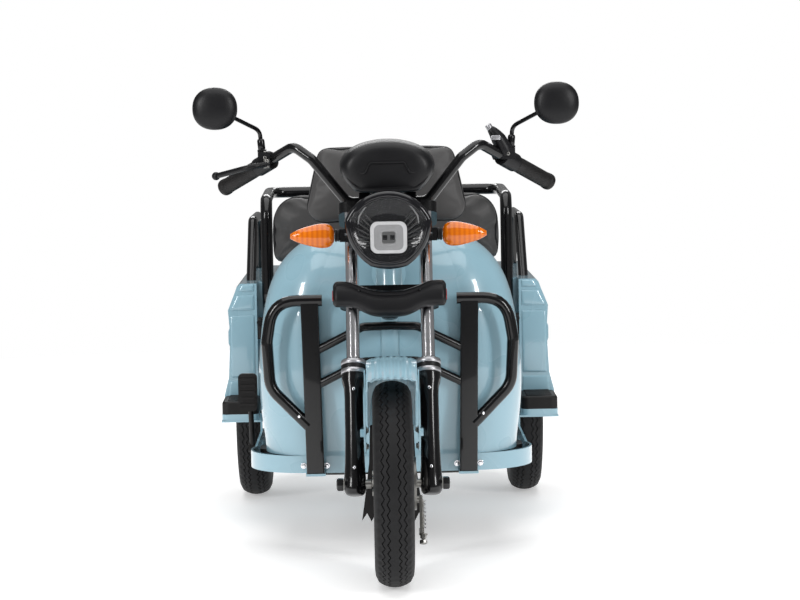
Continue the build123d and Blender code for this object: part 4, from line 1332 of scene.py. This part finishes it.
# Body screws: along the belt, on the rear fenders, the backrest posts and the tub's floor
p = Piece()
for side in sides:
    for x, y, z in ((0.3019, -0.16, 0.2015), (0.3019, -0.02, 0.2015), (0.3019, 0.05, 0.2015),
                    (0.3783, 0.3, 0.468), (0.3783, 0.82, 0.468)):
        p.button((side * x, y, z), (side, 0, 0), 0.005, 0.0028)
    for z in (0.752, 0.778):
        p.bolt((side * 0.08, 0.1272, z), (0, 1, 0))
    for z in (0.27, 0.51):
        p.button((side * 0.08, 0.1462, z), (0, 1, 0), 0.0045, 0.0026)
    for y in (0.79, 0.86):
        p.lathe([(0.0046, -0.003), (0.0058, -0.0002), (0.0064, 0.0004), (0.007, 0.0002)],
                (side * 0.12, y, 0.334), (0, 0, 1), 20)
p.done("body_screws", "steel", "chassis")

# Rear fenders: pressed panels in their front faces, and side latches
fender_face = 0.2003
panel_inner = 0.317
panel_edge = ((0.0, 0.0), (0.0012, 0.0022), (0.004, 0.0034), (0.005, 0.0036))
p = Piece()
for side in sides:
    for low, high, out_low, out_high in (
        (0.256, 0.322, 0.386, 0.379), (0.33, 0.478, 0.375, 0.375), (0.49, 0.526, 0.374, 0.358),
        (0.534, 0.551, 0.355, 0.346),
    ):
        panel = [(panel_inner, low), (out_low, low), (out_high, high), (panel_inner, high)]
        middle_x = sum(q[0] for q in panel) / 4
        middle_z = (low + high) / 2
        p.layers([([
            (side * (x - math.copysign(inset, x - middle_x)), z - math.copysign(inset, z - middle_z))
            for x, z in panel
        ], fender_face - lift) for inset, lift in panel_edge])
p.done("fender_panels", "blue_paint", "chassis", 20, bevel=0.001)
p = Piece()
for side in sides:
    latch = rounded_rectangle(0.007, 0.026, 0.003, 4)
    p.plate(latch, 0.01, facing("front", (side * 0.304, 0.212, 0.446)), 0.0015)
    p.lathe([(0.006, 0.0), (0.007, 0.001), (0.007, 0.009), (0.0055, 0.0105)],
            (side * 0.305, 0.203, 0.46), (0, -1, 0), 20)
p.done("side_latch_fittings", "black_plastic", "chassis", 40)

# Tailgate: a toggle latch at each end
latch_x = 0.238
p = Piece()
for side in sides:
    toggle = rounded_rectangle(0.01, 0.018, 0.003, 4)
    p.plate(toggle, 0.004, facing("back", (side * latch_x, 0.9222, 0.505)), 0.001)
    p.lathe([(0.005, 0.0), (0.0062, 0.001), (0.0062, 0.01), (0.0045, 0.012)],
            (side * latch_x, 0.9262, 0.51), (0, 1, 0), 18)
p.done("gate_latches", "steel", "tailgate")

# Floor
floor_radius = 4.2
p = Piece()
rings = []
for share in (1.0, 0.75, 0.5, 0.25):
    rings.append([(x, 0.2 + y, z) for x, y, z in ring(share * floor_radius, 96)])
p.grid(rings, ends="open")
p.faces.append(tuple(range(3 * 96, 4 * 96)))
floor = p.to_object("floor")
s = Shade("floor")
s.value(Emission_Color=(1.0, 1.0, 1.0, 1.0), Emission_Strength=0.36, Specular_IOR_Level=0.1)
s.tint(s.noise(2.0), (0.9, 0.9, 0.9), (0.91, 0.91, 0.91))
s.rough(s.noise(30.0), 0.8, 0.9)
floor.data.materials.append(s.mat)
